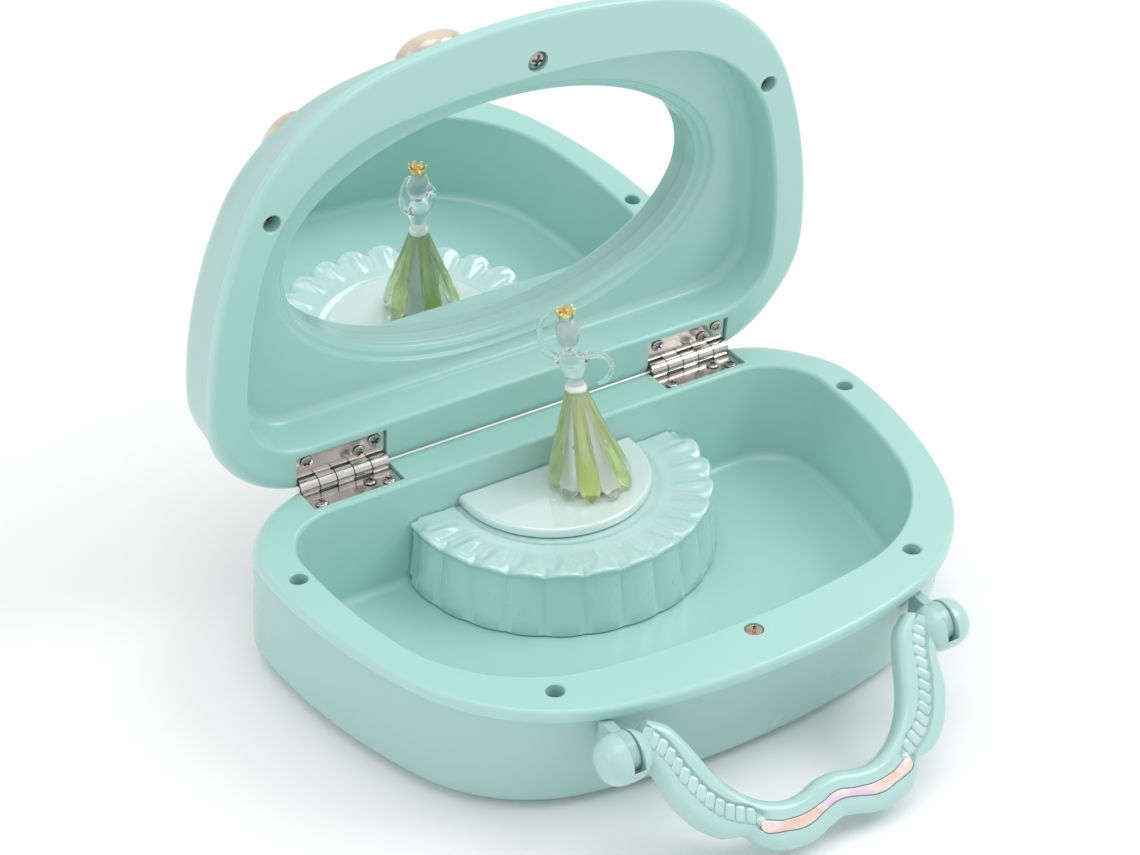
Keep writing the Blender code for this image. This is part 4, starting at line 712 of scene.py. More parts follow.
def tray_liner():
    top = RIM_Z
    floor_z = RIM_Z - CAVITY_DEPTH
    foot = inset(CAVITY, CAVITY_DRAFT)
    rings = [
        ring(inset(foot, 1.0 * MM - LINER_WALL), floor_z - LINER_WALL),
        ring(inset(foot, -LINER_WALL), floor_z + 0.5 * MM),
        ring(inset(CAVITY, -LINER_WALL), top - FLANGE),
        ring(inset(edge_ring(FLANGE), 0.4 * MM), top - FLANGE),
    ]
    rings += list(reversed(rim_edge(top, 1))) + mouth_rings(top, 1)
    rings.append(ring(inset(CAVITY, CAVITY_DRAFT * 0.5), top - CAVITY_DEPTH * 0.5))
    for a, b in quarter(7):
        rings.append(ring(inset(foot, CAVITY_FOOT_ROUND * a), floor_z + CAVITY_FOOT_ROUND * b))
    liner = make("tray", skin(rings), MINT)
    sleeves = []
    cuts = []
    for spot in rim_posts():
        sleeves.append(post(spot, top - RIM_HOLE_DEPTH - 1.2 * MM, top - 1.0 * MM, RIM_SLEEVE_R))
        cuts.append(post(spot, top - RIM_HOLE_DEPTH, top + 1 * MM, RIM_HOLE_R))
        flare = RIM_HOLE_R + COUNTERSINK
        cuts.append(post(spot, top - 0.35 * MM, top + 0.25 * MM, RIM_HOLE_R, 32, flare))
    for _, x in both_sides(HINGE_X):
        half = HINGE_LENGTH / 2
        low = (x - half, HINGE.y - LEAF_SEAT_REACH, 28.6 * MM)
        sleeves.append(box(low, (x + half, HINGE.y - 2.6 * MM, top - FLANGE + 0.4 * MM)))
        cuts += hinge_pocket(x, -1, top)
    cuts.append(post((0, CATCH_Y), top - 2.6 * MM, top + 1 * MM, 2.35 * MM, 40))
    cuts.append(post((0, STAGE_Y), 1 * MM, STAGE_OPENING_TOP, STAGE_OPENING_R, 96))
    shaped(liner, sleeves, cuts)
    settle(even_normals(liner), "tray_liner_moulded", "case", ["tray_liner"])


# ---------------------------------------------------------------- stage

def half_circle(radius_at, z_at, centre_y, steps):
    """A half ring round the front of the stage, closed off straight at its back."""
    points = []
    for i in range(steps + 1):
        share = i / steps
        angle = math.pi * (1 + share)
        radius = radius_at(share)
        x = radius * math.cos(angle)
        points.append(Vector((x, centre_y + radius * math.sin(angle), z_at(share))))
    left = Vector((points[0].x, STAGE_BACK_Y, points[0].z))
    right = Vector((points[-1].x, STAGE_BACK_Y, points[-1].z))
    return [left] + points + [right]


def arch(share):
    """A scallop's rounded arch: zero at the notches, one in its middle."""
    return abs(math.sin(math.pi * SCALLOPS * share)) ** 0.75


def pleat(share):
    """Two soft folds to each scallop, from minus one to one."""
    phase = (2 * SCALLOPS * share + 0.5) % 1.0
    return 1 - 4 * abs(phase - 0.5)


def stage_drum():
    steps = SCALLOPS * STEPS_PER_SCALLOP
    foot_z = RIM_Z - CAVITY_DEPTH + GAP

    def level(radius, z, flute=0.0, ripple=0.0, fold=0.0):
        return half_circle(
            lambda s: radius + flute * arch(s),
            lambda s: z + ripple * arch(s) + fold * pleat(s),
            STAGE_Y,
            steps,
        )

    rings = [level(STAGE_FOOT_R - 1.6 * MM, foot_z), level(STAGE_FOOT_R - 0.6 * MM, foot_z, 0.5 * MM)]
    rings.append(level(STAGE_FOOT_R - 0.35 * MM, foot_z + 0.3 * MM, 0.5 * MM))
    for share in (0.25, 0.5, 0.75, 0.93):
        radius = STAGE_FOOT_R - 0.75 * MM + (STAGE_R - STAGE_FOOT_R - 0.45 * MM) * share
        height = foot_z + (RUFFLE_Z - 1.7 * MM - foot_z) * share
        rings.append(level(radius, height, 0.95 * MM, 1.0 * MM * share**3))
    for out, up, flute, ripple in RUFFLE_RIM:
        rings.append(level(STAGE_R + out * MM, RUFFLE_Z + up * MM, flute * MM, ripple * MM))
    inner = PLATFORM_R + 4.4 * MM
    outer = STAGE_R - 3.0 * MM
    for i in range(7):
        share = 1 - i / 6
        radius = inner + (outer - inner) * share
        rise = share**0.8
        rings.append(
            level(radius, RUFFLE_Z + 0.2 * MM, 0.8 * MM * share, 1.25 * MM * rise, 0.45 * MM * rise)
        )
    for radius, up in COLLAR:
        rings.append(level(PLATFORM_R + radius * MM, RUFFLE_Z + up * MM))
    rings.append(level(STAGE_WELL_R, RUFFLE_Z))
    rings.append(level(STAGE_WELL_R, RUFFLE_Z - 1.5 * MM))
    rings.append(level(STAGE_R - 2.6 * MM, RUFFLE_Z - 2.4 * MM))
    drum = make("drum", skin(rings, closed=True, looped=False), STAGE, 50)
    foot = box((-48 * MM, STAGE_BACK_Y - 2.5 * MM, 0), (48 * MM, 50 * MM, foot_z + 2.2 * MM))
    draft = box((-48 * MM, STAGE_BACK_Y - 0.6 * MM, 0), (48 * MM, 50 * MM, 20.0 * MM))
    shaped(drum, (), [foot, draft], sharp=50)
    settle(drum, "stage_drum_pleated", "case", ["stage_drum"])


def stage_platform():
    low = RUFFLE_Z + GAP
    edge = PLATFORM_ROUND
    outline = [(0.5 * MM, low), (0.15 * MM, low + 0.25 * MM), (0.0, low + 0.6 * MM)]
    outline.append((0.0, PLATFORM_Z - edge))
    outline += [(edge * a, PLATFORM_Z - edge * b) for a, b in quarter(7)[1:]]
    rings = [
        half_circle(lambda s, d=d: PLATFORM_R - d, lambda s, z=z: z, PLATFORM_Y, 72) for d, z in outline
    ]
    platform = make("platform", skin(rings), PLATFORM_PEARL_AND_SHEEN)
    well = post((FIGURE.x, FIGURE.y), 20 * MM, PLATFORM_Z - 1.5 * MM, PLATFORM_WELL_R, 48)
    shaped(platform, (), [well])
    settle(even_normals(platform), "stage_platform_glossy", "case", ["stage_platform"])


# ---------------------------------------------------------------- fasteners

def screw_head(at, towards, size):
    """A domed head with a cross recess, on its shank."""
    head_r, head_h, shank_r, length = size
    at = Vector(at)
    lay = Matrix.Translation(at) @ Vector(towards).to_track_quat("Z", "Y").to_matrix().to_4x4()
    profile = [(shank_r, length), (shank_r, 0.0), (head_r * 0.97, 0.0), (head_r, -head_h * 0.2)]
    for i in range(1, 6):
        angle = math.pi / 2 * i / 6
        profile.append((head_r * math.cos(angle), -head_h * (0.2 + 0.8 * math.sin(angle))))
    head = make("screw", skin([circle(r, depth, 32) for r, depth in profile]), SHADED_SCREW_STEEL)
    long = head_r * 0.62
    wide = head_r * 0.17
    arms = [box((-long, -wide, -head_h * 2), (long, wide, head_h * 0.15))]
    arms.append(box((-wide, -long, -head_h * 2), (wide, long, head_h * 0.15)))
    shaped(head, (), arms)
    head.data.transform(lay @ Matrix.Rotation(at.x * 900 + at.y * 700, 4, "Z"))
    return even_normals(head)


def case_fasteners():
    seat = RIM_Z - RIM_HOLE_DEPTH + 0.2 * MM
    names = [f"{row}_{side}" for row in ("back", "front") for side in ("left", "right")]
    for name, (x, y) in zip(names, rim_posts()):
        head = screw_head((x, y, seat), (0, 0, -1), LINER_SCREW)
        settle(head, f"cross_screw_{name}", "case", [f"liner_screw_{name}"])
    top = RIM_Z - 0.2 * MM
    disc = rod((0, CATCH_Y, RIM_Z - 2.3 * MM), (0, CATCH_Y, top), 2.05 * MM, 48, MAGNET)
    slot = box((-1.6 * MM, -0.3 * MM, top - 1.2 * MM), (1.6 * MM, 0.3 * MM, top + 1 * MM))
    slot.data.transform(Matrix.Translation((0, CATCH_Y, 0)) @ Matrix.Rotation(0.9, 4, "Z"))
    shaped(disc, (), [slot])
    settle(even_normals(bevelled(disc, 0.15 * MM)), "catch_disc", "case", ["catch_magnet"])


def hinge_leaf(x, z_sign, knuckles):
    half = HINGE_LENGTH / 2
    near = HINGE.z + z_sign * LEAF_LEVEL
    far = HINGE.z + z_sign * (LEAF_LEVEL + LEAF_THICK)
    back = HINGE.y - KNUCKLE_R - GAP
    low = (x - half, HINGE.y - LEAF_REACH, min(near, far))
    leaf = box(low, (x + half, back, max(near, far)), NICKEL)
    pitch = HINGE_LENGTH / 5
    joins = []
    for k in knuckles:
        left = x - half + k * pitch + GAP / 2
        right = left + pitch - GAP
        low = (left + 0.15 * MM, back - 0.7 * MM, min(near, far) + 0.04 * MM)
        joins.append(box(low, (right - 0.15 * MM, HINGE.y - 0.3 * MM, max(near, far) - 0.04 * MM)))
        joins.append(rod((left, HINGE.y, HINGE.z), (right, HINGE.y, HINGE.z), KNUCKLE_R, 36))
    cuts = [crossbar(x, 20 * MM, (HINGE.y, HINGE.z), LEAF_BORE_R, 20)]
    for dx, reach in LEAF_SCREWS:
        spot = (x + dx, HINGE.y - reach)
        cuts.append(post(spot, near + z_sign * 2 * MM, near - z_sign * 3 * MM, LEAF_BORE_R, 20))
    shaped(leaf, joins, cuts)
    return even_normals(bevelled(leaf, 0.14 * MM))


def hinges():
    for side, x in both_sides(HINGE_X):
        for part, z_sign, knuckles in (("case", -1, (0, 2, 4)), ("lid", 1, (1, 3))):
            leaf = hinge_leaf(x, z_sign, knuckles)
            settle(leaf, f"leaf_{part}_{side}", part, [f"hinge_leaf_{part}_{side}"])
            seat = HINGE.z + z_sign * (LEAF_LEVEL - 0.2 * MM)
            for i, (dx, reach) in enumerate(LEAF_SCREWS, 1):
                at = (x + dx, HINGE.y - reach, seat)
                head = screw_head(at, (0, 0, z_sign), LEAF_SCREW)
                node = f"hinge_{part}_{side}_screw_{i}"
                settle(head, f"cross_{node}", part, [node])


# ---------------------------------------------------------------- lid

def lid_shell():
    low = LID_FLANGE + GAP
    turn = LID_HEIGHT - LID_TOP_ROUND
    centre = Vector((0.0, 2.0 * MM))

    def dome(thickness, levels):
        rings = [ring(inset(lid_section(h), thickness), LID_Z + h) for h in levels]
        rings += rounded_foot(lid_section(turn), LID_TOP_ROUND, thickness, LID_Z + turn, -1, 12)
        edge = [Vector((p.x, p.y)) for p in rings[-1]]
        for share in (0.86, 0.7, 0.52, 0.35, 0.18, 0.04):
            points = [centre + (p - centre) * share for p in edge]
            rings.append(ring(points, LID_Z + LID_HEIGHT - thickness + LID_CROWN * (1 - share**2)))
        return rings

    outer = dome(0.0, [low + (turn - low) * i / 5 for i in range(6)])
    outer[0] = ring(inset(lid_section(low), 0.25 * MM), LID_Z + low)
    outer.insert(1, ring(lid_section(low + 0.25 * MM), LID_Z + low + 0.25 * MM))
    inner = dome(WALL, [low, low + 6 * MM, turn])
    shell = make("lid", skin(list(reversed(inner)) + outer), MINT_SHADED_OUTER)
    settle(shell, "lid_shell_moulded", "lid", ["lid_shell"])


def lid_liner():
    back = LID_Z + MIRROR_DEPTH - 0.02 * MM
    collar = (MIRROR_HALF[0] + 2.4 * MM, MIRROR_HALF[1] + 2.4 * MM)
    root = (MIRROR_HALF[0] + 6.2 * MM, MIRROR_HALF[1] + 5.6 * MM)
    rings = [
        ellipse_ring(MIRROR_HALF, back, MIRROR_SLOPE),
        ellipse_ring(collar, back, MIRROR_SLOPE),
        ellipse_ring(root, LID_Z + PANEL_DEPTH + 2.0 * MM),
        ring(inset(CAVITY, 1.5 * MM), LID_Z + PANEL_DEPTH + 1.8 * MM),
        ring(inset(CAVITY, -0.9 * MM), LID_Z + PANEL_DEPTH - 0.4 * MM),
        ring(inset(CAVITY, -LINER_WALL), LID_Z + LID_FLANGE),
        ring(inset(edge_ring(3.0 * MM), 0.4 * MM), LID_Z + LID_FLANGE),
    ]
    rings += list(reversed(rim_edge(LID_Z, -1))) + mouth_rings(LID_Z, -1)
    for a, b in quarter(8):
        points = inset(CAVITY, 0.5 * MM + PANEL_ROUND * a)
        rings.append(ring(points, LID_Z + PANEL_DEPTH - 0.4 * MM - PANEL_ROUND * b))
    for wide, deep in OVAL_FRAME:
        half = (MIRROR_HALF[0] + wide * MM, MIRROR_HALF[1] + wide * 0.93 * MM)
        rings.append(ellipse_ring(half, LID_Z + PANEL_DEPTH + deep * MM))
    liner = make("lid_inside", skin(rings, closed=True, capped=False), MINT)
    joins = []
    cuts = []
    for _, x in both_sides(HINGE_X):
        half = HINGE_LENGTH / 2
        low = (x - half, HINGE.y - LEAF_SEAT_REACH, LID_Z + LID_FLANGE - 0.4 * MM)
        joins.append(box(low, (x + half, HINGE.y - 2.6 * MM, LID_Z + 7.4 * MM)))
        cuts += hinge_pocket(x, 1, LID_Z)
    for _, x in both_sides(LID_HOLE[0]):
        spot = (x, LID_HOLE[1])
        joins.append(post(spot, LID_Z + 1 * MM, LID_Z + 4.9 * MM, 2.85 * MM))
        cuts.append(post(spot, LID_Z - 1 * MM, LID_Z + 4.1 * MM, RIM_HOLE_R))
        flare = RIM_HOLE_R + COUNTERSINK
        cuts.append(post(spot, LID_Z + 0.35 * MM, LID_Z - 0.25 * MM, RIM_HOLE_R, 32, flare))
    cuts.append(post((0, CATCH_Y), LID_Z - 1 * MM, LID_Z + 1.6 * MM, 2.75 * MM, 40))
    shaped(liner, joins, cuts)
    settle(even_normals(liner), "lid_liner_moulded", "lid", ["lid_liner"])


def lid_mirror():
    low = LID_Z + MIRROR_DEPTH
    rings = []
    for wide, up in ((MIRROR_LAP, MIRROR_THICK), (MIRROR_LAP, 0.0), (0.3 * MM, 0.0)):
        half = (MIRROR_HALF[0] + wide, MIRROR_HALF[1] + wide)
        rings.append(ellipse_ring(half, low + up, MIRROR_SLOPE))
    mirror = make("mirror", skin(rings), GLASS)
    settle(mirror, "oval_mirror", "lid", ["lid_mirror"])


def lid_gems():
    for name, (at, radius, turn) in GEMS.items():
        gem = ball((0, 0, 0), (radius, radius * 0.8, radius * 0.5), GEM, 56, 32)
        lay = Matrix.Translation((at[0], at[1], LID_Z + at[2])) @ Matrix.Rotation(-turn, 4, "Z")
        gem.data.transform(lay @ Matrix.Rotation(GEM_SWING, 4, "X"))
        settle(gem, f"{name}_domed", "lid", [name])


def lid_fasteners():
    for side, x in both_sides(LID_HOLE[0]):
        at = (x, LID_HOLE[1], LID_Z + 3.9 * MM)
        head = screw_head(at, (0, 0, 1), LINER_SCREW)
        settle(head, f"cross_lid_screw_{side}", "lid", [f"lid_screw_{side}"])
    head = screw_head((0, CATCH_Y, LID_Z + 1.4 * MM), (0, 0, 1), CATCH_SCREW)
    settle(head, "cross_catch_screw", "lid", ["catch_screw"])


# ---------------------------------------------------------------- handle

def smooth_run(knots, steps):
    """Points on a smooth curve through the knots, this many to a span, without the last knot."""
    last = len(knots) - 1
    points = []
    for i in range(last):
        p = [Vector(knots[min(max(k, 0), last)]) for k in (i - 1, i, i + 1, i + 2)]
        for step in range(steps):
            t = step / steps
            bend = (2 * p[0] - 5 * p[1] + 4 * p[2] - p[3]) * t**2
            twist = (3 * p[1] - p[0] - 3 * p[2] + p[3]) * t**3
            points.append(0.5 * (2 * p[1] + (p[2] - p[0]) * t + bend + twist))
    return points


def smooth_line(knots, count):
    """Evenly spaced points on a smooth curve through the knots, in metres."""
    dense = smooth_run(knots, 16)
    dense.append(Vector(knots[-1]))
    lengths = [0.0]
    for a, b in zip(dense, dense[1:]):
        lengths.append(lengths[-1] + (b - a).length)
    points = []
    k = 0
    for i in range(count + 1):
        want = lengths[-1] * i / count
        while k < len(dense) - 2 and lengths[k + 1] < want:
            k += 1
        share = (want - lengths[k]) / max(1e-9, lengths[k + 1] - lengths[k])
        points.append(dense[k].lerp(dense[k + 1], share) * MM)
    return points


def flat_outline(points, half_thick, bevel, drawn_in=0.0):
    """A bmesh of a smooth closed outline with rounded edges."""
    curve = bpy.data.curves.new("outline", "CURVE")
    curve.dimensions = "2D"
    curve.fill_mode = "BOTH"
    curve.extrude = half_thick - bevel
    curve.bevel_depth = bevel
    curve.bevel_resolution = 3
    curve.offset = -bevel - drawn_in
    curve.resolution_u = 10
    spline = curve.splines.new("BEZIER")
    spline.bezier_points.add(len(points) - 1)
    spline.use_cyclic_u = True
    for knot, (x, y) in zip(spline.bezier_points, points):
        knot.co = (x * MM, y * MM, 0)
        knot.handle_left_type = "AUTO"
        knot.handle_right_type = "AUTO"
    drawn = bpy.data.objects.new("outline", curve)
    bpy.context.scene.collection.objects.link(drawn)
    bpy.context.view_layer.update()
    mesh = bpy.data.meshes.new_from_object(drawn.evaluated_get(bpy.context.evaluated_depsgraph_get()))
    bpy.data.objects.remove(drawn)
    bm = bmesh.new()
    bm.from_mesh(mesh)
    bpy.data.meshes.remove(mesh)
    bmesh.ops.remove_doubles(bm, verts=bm.verts, dist=0.00001)
    return bm


def on_handle(bm, lift=0.0):
    lay = Matrix.Translation((0, PIVOT.y, PIVOT.z + lift)) @ Matrix.Scale(-1, 4, (0, 1, 0))
    bmesh.ops.transform(bm, matrix=lay, verts=bm.verts)
    return bm


def bow_section(outer, inner, along):
    """The bow's cross-section here: raised rims at both edges and the laddered groove between."""
    middle = (outer + inner) / 2
    half = (outer - inner).length / 2
    out = (outer - inner).normalized()
    thick = HANDLE_HALF_THICK
    core = half - BOW_ROUND
    ends = min(1.0, max(0.0, (along - GROOVE_START) / 0.03), max(0.0, (GROOVE_END - along) / 0.02))
    groove = GROOVE_DEPTH * ends * ends * (3 - 2 * ends)
    floor_half = min(GROOVE_HALF, max(0.3 * MM, half - BOW_RIM - 0.5 * MM))
    left = []
    for i in range(9):
        angle = math.pi * (0.5 + i / 8)
        level = (thick - BOW_ROUND) * (1 if i <= 4 else -1)
        left.append((BOW_ROUND * math.cos(angle) - core, level + BOW_ROUND * math.sin(angle)))
    right = [(-a, b) for a, b in reversed(left)]
    top = []
    for share in (-1.0, -0.93, -0.8, -0.5, 0.0, 0.5, 0.8, 0.93, 1.0):
        edge = max(0.0, (abs(share) - 0.8) / 0.2)
        reach = floor_half + 0.5 * MM * edge
        side = share / abs(share) if share else 0.0
        across = side * reach if abs(share) >= 0.8 else share / 0.8 * floor_half
        depth = groove * (1 - edge * edge)
        top.append((across, thick - depth))
    section = left + right + list(reversed(top))
    return [Vector((middle.x + out.x * a, middle.y + out.y * a, b)) for a, b in section]


def bow_mesh():
    outer = smooth_line(HANDLE_OUTER, BOW_STEPS)
    inner = smooth_line(HANDLE_INNER, BOW_STEPS)
    half = [bow_section(o, i, k / BOW_STEPS) for k, (o, i) in enumerate(zip(outer, inner))]
    mirrored = [[Vector((-p.x, p.y, p.z)) for p in section] for section in half[:-1]]
    return on_handle(skin(half + list(reversed(mirrored))))


def ladder():
    """Pillow-shaped rungs in the groove, with a bead at the lower end."""
    count = 400
    outer = smooth_line(HANDLE_OUTER, count)
    inner = smooth_line(HANDLE_INNER, count)
    bm = bmesh.new()
    floor = HANDLE_HALF_THICK - GROOVE_DEPTH
    for sign in (-1, 1):
        for k in range(RUNGS + 1):
            share = GROOVE_START + 0.03 + (GROOVE_END - GROOVE_START - 0.06) * k / RUNGS
            here = int(share * count)
            middle = (outer[here] + inner[here]) / 2
            across = outer[here] - inner[here]
            half = min(2.1 * MM, across.length / 2 - 1.75 * MM)
            bead = k == RUNGS
            radii = BEAD_SIZE if bead else (half, *RUNG_SIZE)
            turn = Matrix.Rotation(math.atan2(across.y, across.x * sign), 4, "Z")
            lay = Matrix.Translation((middle.x * sign, middle.y, floor)) @ turn
            made = bmesh.ops.create_uvsphere(bm, u_segments=24, v_segments=14, radius=1.0)
            for vert in made["verts"]:
                x, y, z = vert.co
                if not bead:
                    x = math.copysign(abs(x) ** 0.42, x)
                    y = math.copysign(abs(y) ** 0.5, y)
                vert.co = Vector((x * radii[0], y * radii[1], z * radii[2]))
            bmesh.ops.transform(bm, matrix=lay, verts=made["verts"])
    return on_handle(bm)


def boss_form(centre):
    """A drum with full, rounded ends, lying across the handle."""
    boss = ball((0, 0, 0), (1, 1, 1), None, 56, 36)
    for vert in boss.data.vertices:
        y, z, x = vert.co
        full = (abs(x) ** BOSS_FULLNESS + math.hypot(y, z) ** BOSS_FULLNESS) ** (-1 / BOSS_FULLNESS)
        vert.co = centre + Vector((x * BOSS_HALF_WIDTH, y * BOSS_R, z * BOSS_R)) * full
    return boss


def handle_pieces():
    bow = make("bow", bow_mesh(), MINT_HANDLE, 60)
    inlay_line = list(INLAY_UPPER) + [(-x, y) for x, y in reversed(INLAY_UPPER[:-1])]
    inlay_line += [(-x, y) for x, y in reversed(INLAY_LOWER)] + [(0.0, 29.0)] + list(INLAY_LOWER)
    top = HANDLE_HALF_THICK
    groove = make("groove", on_handle(flat_outline(inlay_line, 0.7 * MM, 0.01 * MM), top), None)
    bosses = []
    slots = []
    for _, x in both_sides(BOSS_X):
        bosses.append(boss_form(Vector((x, PIVOT.y - BOSS_AHEAD, PIVOT.z))))
    for _, x in both_sides(PIVOT_X):
        slot = LUG_HALF + GAP
        low = (x - slot, PIVOT.y - SLOT_AHEAD, PIVOT.z - 9 * MM)
        slots.append(box(low, (x + slot, PIVOT.y + 9 * MM, PIVOT.z + 9 * MM)))
        slots.append(crossbar(x, PIN_BORE_REACH, (PIVOT.y, PIVOT.z), PIN_BORE_R, 32))
    shaped(bow, bosses, [*slots, groove], sharp=42)
    settle(even_normals(bow), "handle_bow_moulded", "handle", ["handle_bow"])
    rungs = make("rungs", ladder(), LADDER)
    settle(rungs, "handle_ladder", "handle")
    foil_sheet = flat_outline(inlay_line, 0.3 * MM, 0.12 * MM, 0.25 * MM)
    strip = make("strip", on_handle(foil_sheet, top - 0.35 * MM), INLAY)
    settle(strip, "handle_inlay_foil", "handle", ["handle_inlay"])


# ---------------------------------------------------------------- figure

def lean(height):
    """How far the figure's middle leans to its right at this height above the stage."""
    return -7.1 * MM * (max(0.0, height) / (52 * MM)) ** 0.85


def figure_point(sideways, forwards, height):
    spot = Matrix.Rotation(FIGURE_FACING, 3, "Z") @ Vector((sideways, -forwards, 0))
    return Vector((FIGURE.x + spot.x, FIGURE.y + spot.y, FIGURE.z + height))


def around(sideways, half_side, half_front, height, count=24):
    """An oval ring round the figure."""
    return [
        figure_point(sideways + half_side * math.cos(turn), half_front * math.sin(turn), height)
        for turn in turns(count)
    ]


def petal(index, material, name):
    """A long pillow-shaped petal from the waist to a rounded tip at the hem."""
    angle = 2 * math.pi * (index + 0.5) / PETALS
    out = Vector((math.cos(angle), math.sin(angle)))
    side = Vector((-out.y, out.x))
    rings = []
    for k in range(PETAL_STEPS + 1):
        share = k / PETAL_STEPS
        height = WAIST_Z * (1 - share) + 0.5 * MM * share
        reach = 1.8 * MM + (HEM_R - 4.1 * MM) * share**1.08
        width = (2.1 * MM + reach) * math.tan(math.pi / PETALS) * (0.97 - 0.09 * share)
        tip = max(0.0, (share - 0.8) / 0.2)
        width *= max(0.12, math.sqrt(max(0.0, 1 - tip**2.2)))
        thick = (0.85 + 1.35 * share) * MM * max(0.25, math.sqrt(max(0.0, 1 - tip**2.4)))
        points = []
        for turn in turns(16):
            away = reach + thick * math.sin(turn) - 0.12 * width * math.cos(turn) ** 2
            across = side * (width * math.cos(turn)) + out * away
            points.append(figure_point(lean(height) + across.x, across.y, height))
        rings.append(points)
    made = make(name, skin(rings), material, 60)
    return settle(made, name, "figure")


def figure_skirt():
    for k in range(PETALS):
        green = k % 2 == 0
        made = petal(k, GREEN if green else PETAL_CLEAR, f"skirt_petal_{k}")
        if k == 0:
            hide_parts("figure_skirt")
    rings = []
    for share in (0.0, 0.05, 0.15, 0.3, 0.45, 0.6, 0.75, 0.88, 1.0):
        height = 1.2 * MM + share * (WAIST_Z - 1.2 * MM)
        radius = 1.3 * MM + (HEM_R - 6.5 * MM) * (1 - share) ** 0.9
        rings.append(around(lean(height), radius, radius, height, 40))
    core = make("core", skin(rings), UNDERSKIRT)
    hollow = post((FIGURE.x, FIGURE.y), FIGURE.z - 1 * MM, FIGURE.z + 3.6 * MM, 6.1 * MM, 40)
    shaped(core, (), [hollow])
    settle(core, "skirt_core", "figure")
    belt = skin([around(lean(up * MM), wide * MM, wide * 0.93 * MM, up * MM, 40) for up, wide in BELT])
    settle(make("belt", belt, UNDERSKIRT, 60), "waist_belt", "figure")
    bm = bmesh.new()
    height = 15.2 * MM
    reach = 1.8 * MM + (HEM_R - 4.1 * MM) * 0.47 + 1.1 * MM
    for angle in turns(PETALS):
        spot = figure_point(lean(height) + reach * math.cos(angle), reach * math.sin(angle), height)
        lay = Matrix.Translation(spot)
        bmesh.ops.create_uvsphere(bm, u_segments=16, v_segments=10, radius=0.6 * MM, matrix=lay)
    settle(make("beads", bm, CLEAR), "skirt_beads", "figure")


def limb(knots):
    """A tapering arm through knots of (sideways, forwards, height, radius) in millimetres."""
    spots = [
        (figure_point(x * MM, y * MM, z * MM), radius * MM)
        for x, y, z, radius in [*smooth_run(knots, 5), knots[-1]]
    ]
    rings = []
    for i, (spot, radius) in enumerate(spots):
        ahead = (spots[min(i + 1, len(spots) - 1)][0] - spots[max(i - 1, 0)][0]).normalized()
        turn = ahead.to_track_quat("Z", "Y").to_matrix()
        rings.append([spot + turn @ point for point in circle(radius, 0.0, 12)])
    return make("limb", skin(rings), None)


def figure_body():
    rings = [around(lean(h * MM), a * MM, b * MM, h * MM) for h, a, b in BODICE]
    torso = make("torso", skin(rings), CLEAR)
    arms = [limb(RAISED_ARM), limb(BENT_ARM)]
    sleeves = [
        ball(figure_point(side * MM, 0.1 * MM, 38.1 * MM), (1.75 * MM, 1.65 * MM, 1.5 * MM))
        for side in (-8.3, -2.7)
    ]
    shaped(torso, [*arms, *sleeves])
    finish_body(torso)
    settle(torso, "figure_torso_clear", "figure", ["figure_torso"])
    middle = lean(45.5 * MM)
    head = ball((0, 0, 0), (3.0 * MM, 3.0 * MM, 4.3 * MM), FROSTED, 40, 28)
    head.data.transform(Matrix.Translation(figure_point(middle, 0, 45.3 * MM)))
    nape = figure_point(middle, -2.9 * MM, 46.4 * MM)
    bun = ball(nape, (1.6 * MM, 1.6 * MM, 1.5 * MM), None, 24, 16)
    crest = figure_point(lean(46 * MM), -0.5 * MM, 46.1 * MM)
    hair = ball(crest, (3.12 * MM, 3.0 * MM, 3.9 * MM), None, 40, 24)
    shaped(head, [bun, hair])
    finish_body(head)
    settle(head, "figure_head_frosted", "figure")


def finish_body(obj):
    """Melts the joined solids into one smooth moulded form."""
    step = obj.modifiers.new("melt", "REMESH")
    step.mode = "VOXEL"
    step.voxel_size = 0.2 * MM
    step.use_smooth_shade = True
    step = obj.modifiers.new("soften", "SMOOTH")
    step.factor = 0.6
    step.iterations = 4
    keep = list(obj.data.materials)
    bake(obj, 80)
    obj.data.materials.clear()
    for material in keep:
        obj.data.materials.append(material)


def figure_crown():
    """An open crown of pointed leaves on a band."""
    count = 84
    base = 50.2
    middle = lean(51 * MM)
    rows = []
    for up, outside, _ in CROWN_BAND:
        rows.append(around(middle, outside * MM, outside * MM, (base + up) * MM, count))
    for side in (0, 1):
        edge = []
        for angle in turns(count):
            wave = abs(math.cos(CROWN_POINTS * angle / 2)) ** 1.6
            height = (base + 1.1 + 1.4 * wave) * MM
            radius = (2.2 + 0.35 * wave - 0.3 * side) * MM
            edge.append(figure_point(middle + radius * math.cos(angle), radius * math.sin(angle), height))
        rows.append(edge)
    for up, _, inside in reversed(CROWN_BAND):
        rows.append(around(middle, inside * MM, inside * MM, (base + up + 0.15) * MM, count))
    crown = make("crown", skin(rows), GOLD, 45)
    settle(crown, "figure_crown_gold", "figure", ["figure_crown"])


# ---------------------------------------------------------------- carried-over nodes

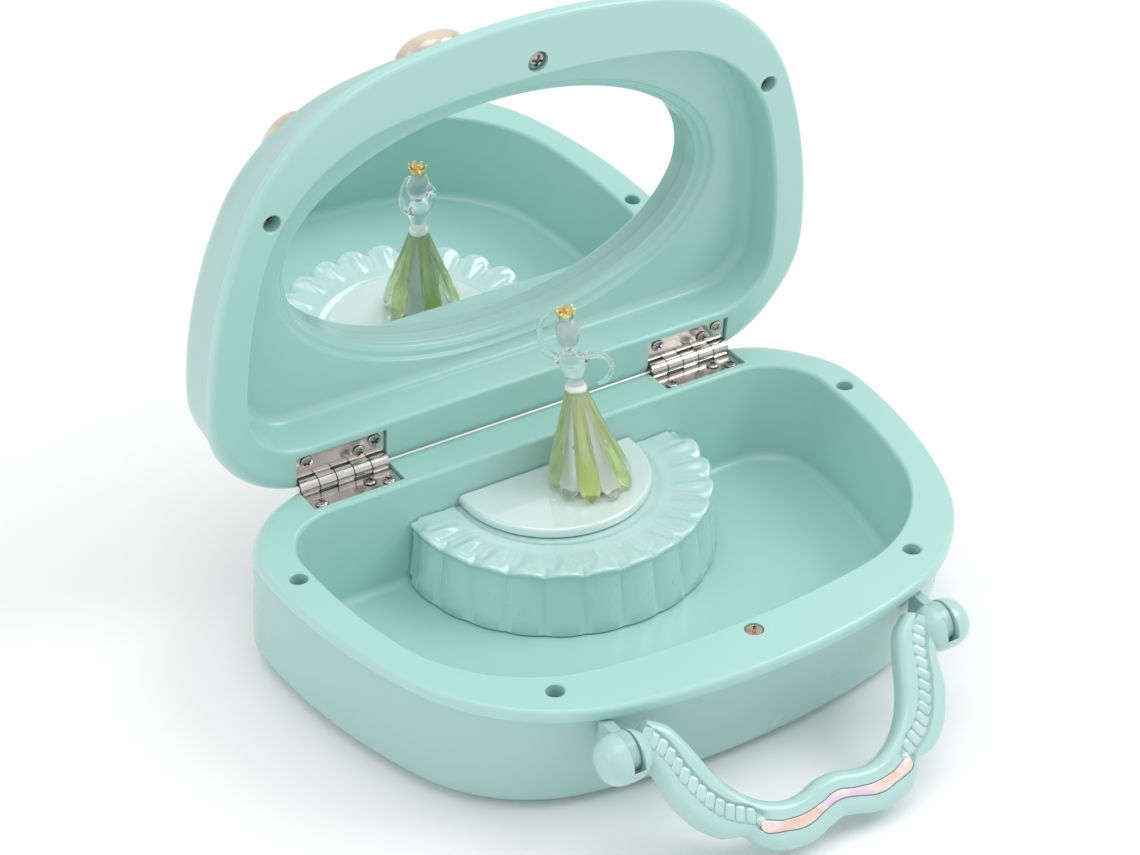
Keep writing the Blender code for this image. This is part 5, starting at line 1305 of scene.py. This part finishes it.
def dress_frame():
    """Gives every CAD node that stays its slot's detailed material."""
    by_slot = {
        "mint_plastic": MINT,
        "pearl_mint": STAGE,
        "mirror_glass": GLASS,
        "nickel_steel": NICKEL,
        "brass": BRASS,
        "cast_zinc": ZINC,
        "magnet": MAGNET,
        "clear_acrylic": CLEAR,
        "green_acrylic": GREEN,
        "gold_plate": GOLD,
        "beige_gem": GEM,
        "pink_foil": INLAY,
    }
    springy = ("comb", "mainspring", "governor_fly")
    for part in RECORD["subparts"]:
        look = SPRING_STEEL if part["node"] in springy else by_slot[part["material_slot"]]
        node = NODES[part["node"]]
        for place in node.material_slots:
            place.material = look
        if not node.material_slots:
            node.data.materials.append(look)


# ---------------------------------------------------------------- stage, light and camera

def studio():
    corners = [Vector((x, y, -0.3 * MM)) for x, y in ((-3, -3), (3, -3), (3, 3), (-3, 3))]
    bm = bmesh.new()
    bm.faces.new([bm.verts.new(corner) for corner in corners])
    paper = Look("pale_floor", 0.6)
    paper.colour(paper.noise(3.0, 2.0), ((0.3, (0.94, 0.94, 0.94)), (0.7, (0.955, 0.955, 0.955))))
    make("floor_sheet", bm, paper.material)
    world = bpy.data.worlds.new("studio_air")
    world.use_nodes = True
    air = world.node_tree.nodes["Background"]
    air.inputs["Color"].default_value = (1.0, 1.0, 1.0, 1.0)
    air.inputs["Strength"].default_value = AIR_STRENGTH
    bpy.context.scene.world = world
    for name, (place, size, power) in SOFTBOXES.items():
        light = bpy.data.lights.new(name, "AREA")
        light.shape = "SQUARE"
        light.size = size
        light.energy = power
        aimed(name, light, place, LIGHTS_TARGET)


def aimed(name, data, place, target):
    """A light or camera that stands at one place and looks at another."""
    obj = bpy.data.objects.new(name, data)
    obj.location = place
    obj.rotation_euler = (Vector(target) - Vector(place)).to_track_quat("-Z", "Y").to_euler()
    bpy.context.scene.collection.objects.link(obj)
    return obj


def camera():
    lens = bpy.data.cameras.new("view")
    lens.sensor_width = 36.0
    lens.lens = FOCAL_LENGTH_MM
    lens.clip_start = 0.01
    bpy.context.scene.camera = aimed("view", lens, CAMERA_PLACE, CAMERA_TARGET)
    bpy.context.scene.view_settings.view_transform = "Standard"


# ---------------------------------------------------------------- assembly

dress_frame()
camera()
studio()
case_shell()
tray_liner()
case_fasteners()
stage_drum()
stage_platform()
hinges()
lid_shell()
lid_liner()
lid_mirror()
lid_gems()
lid_fasteners()
handle_pieces()
figure_skirt()
figure_body()
figure_crown()
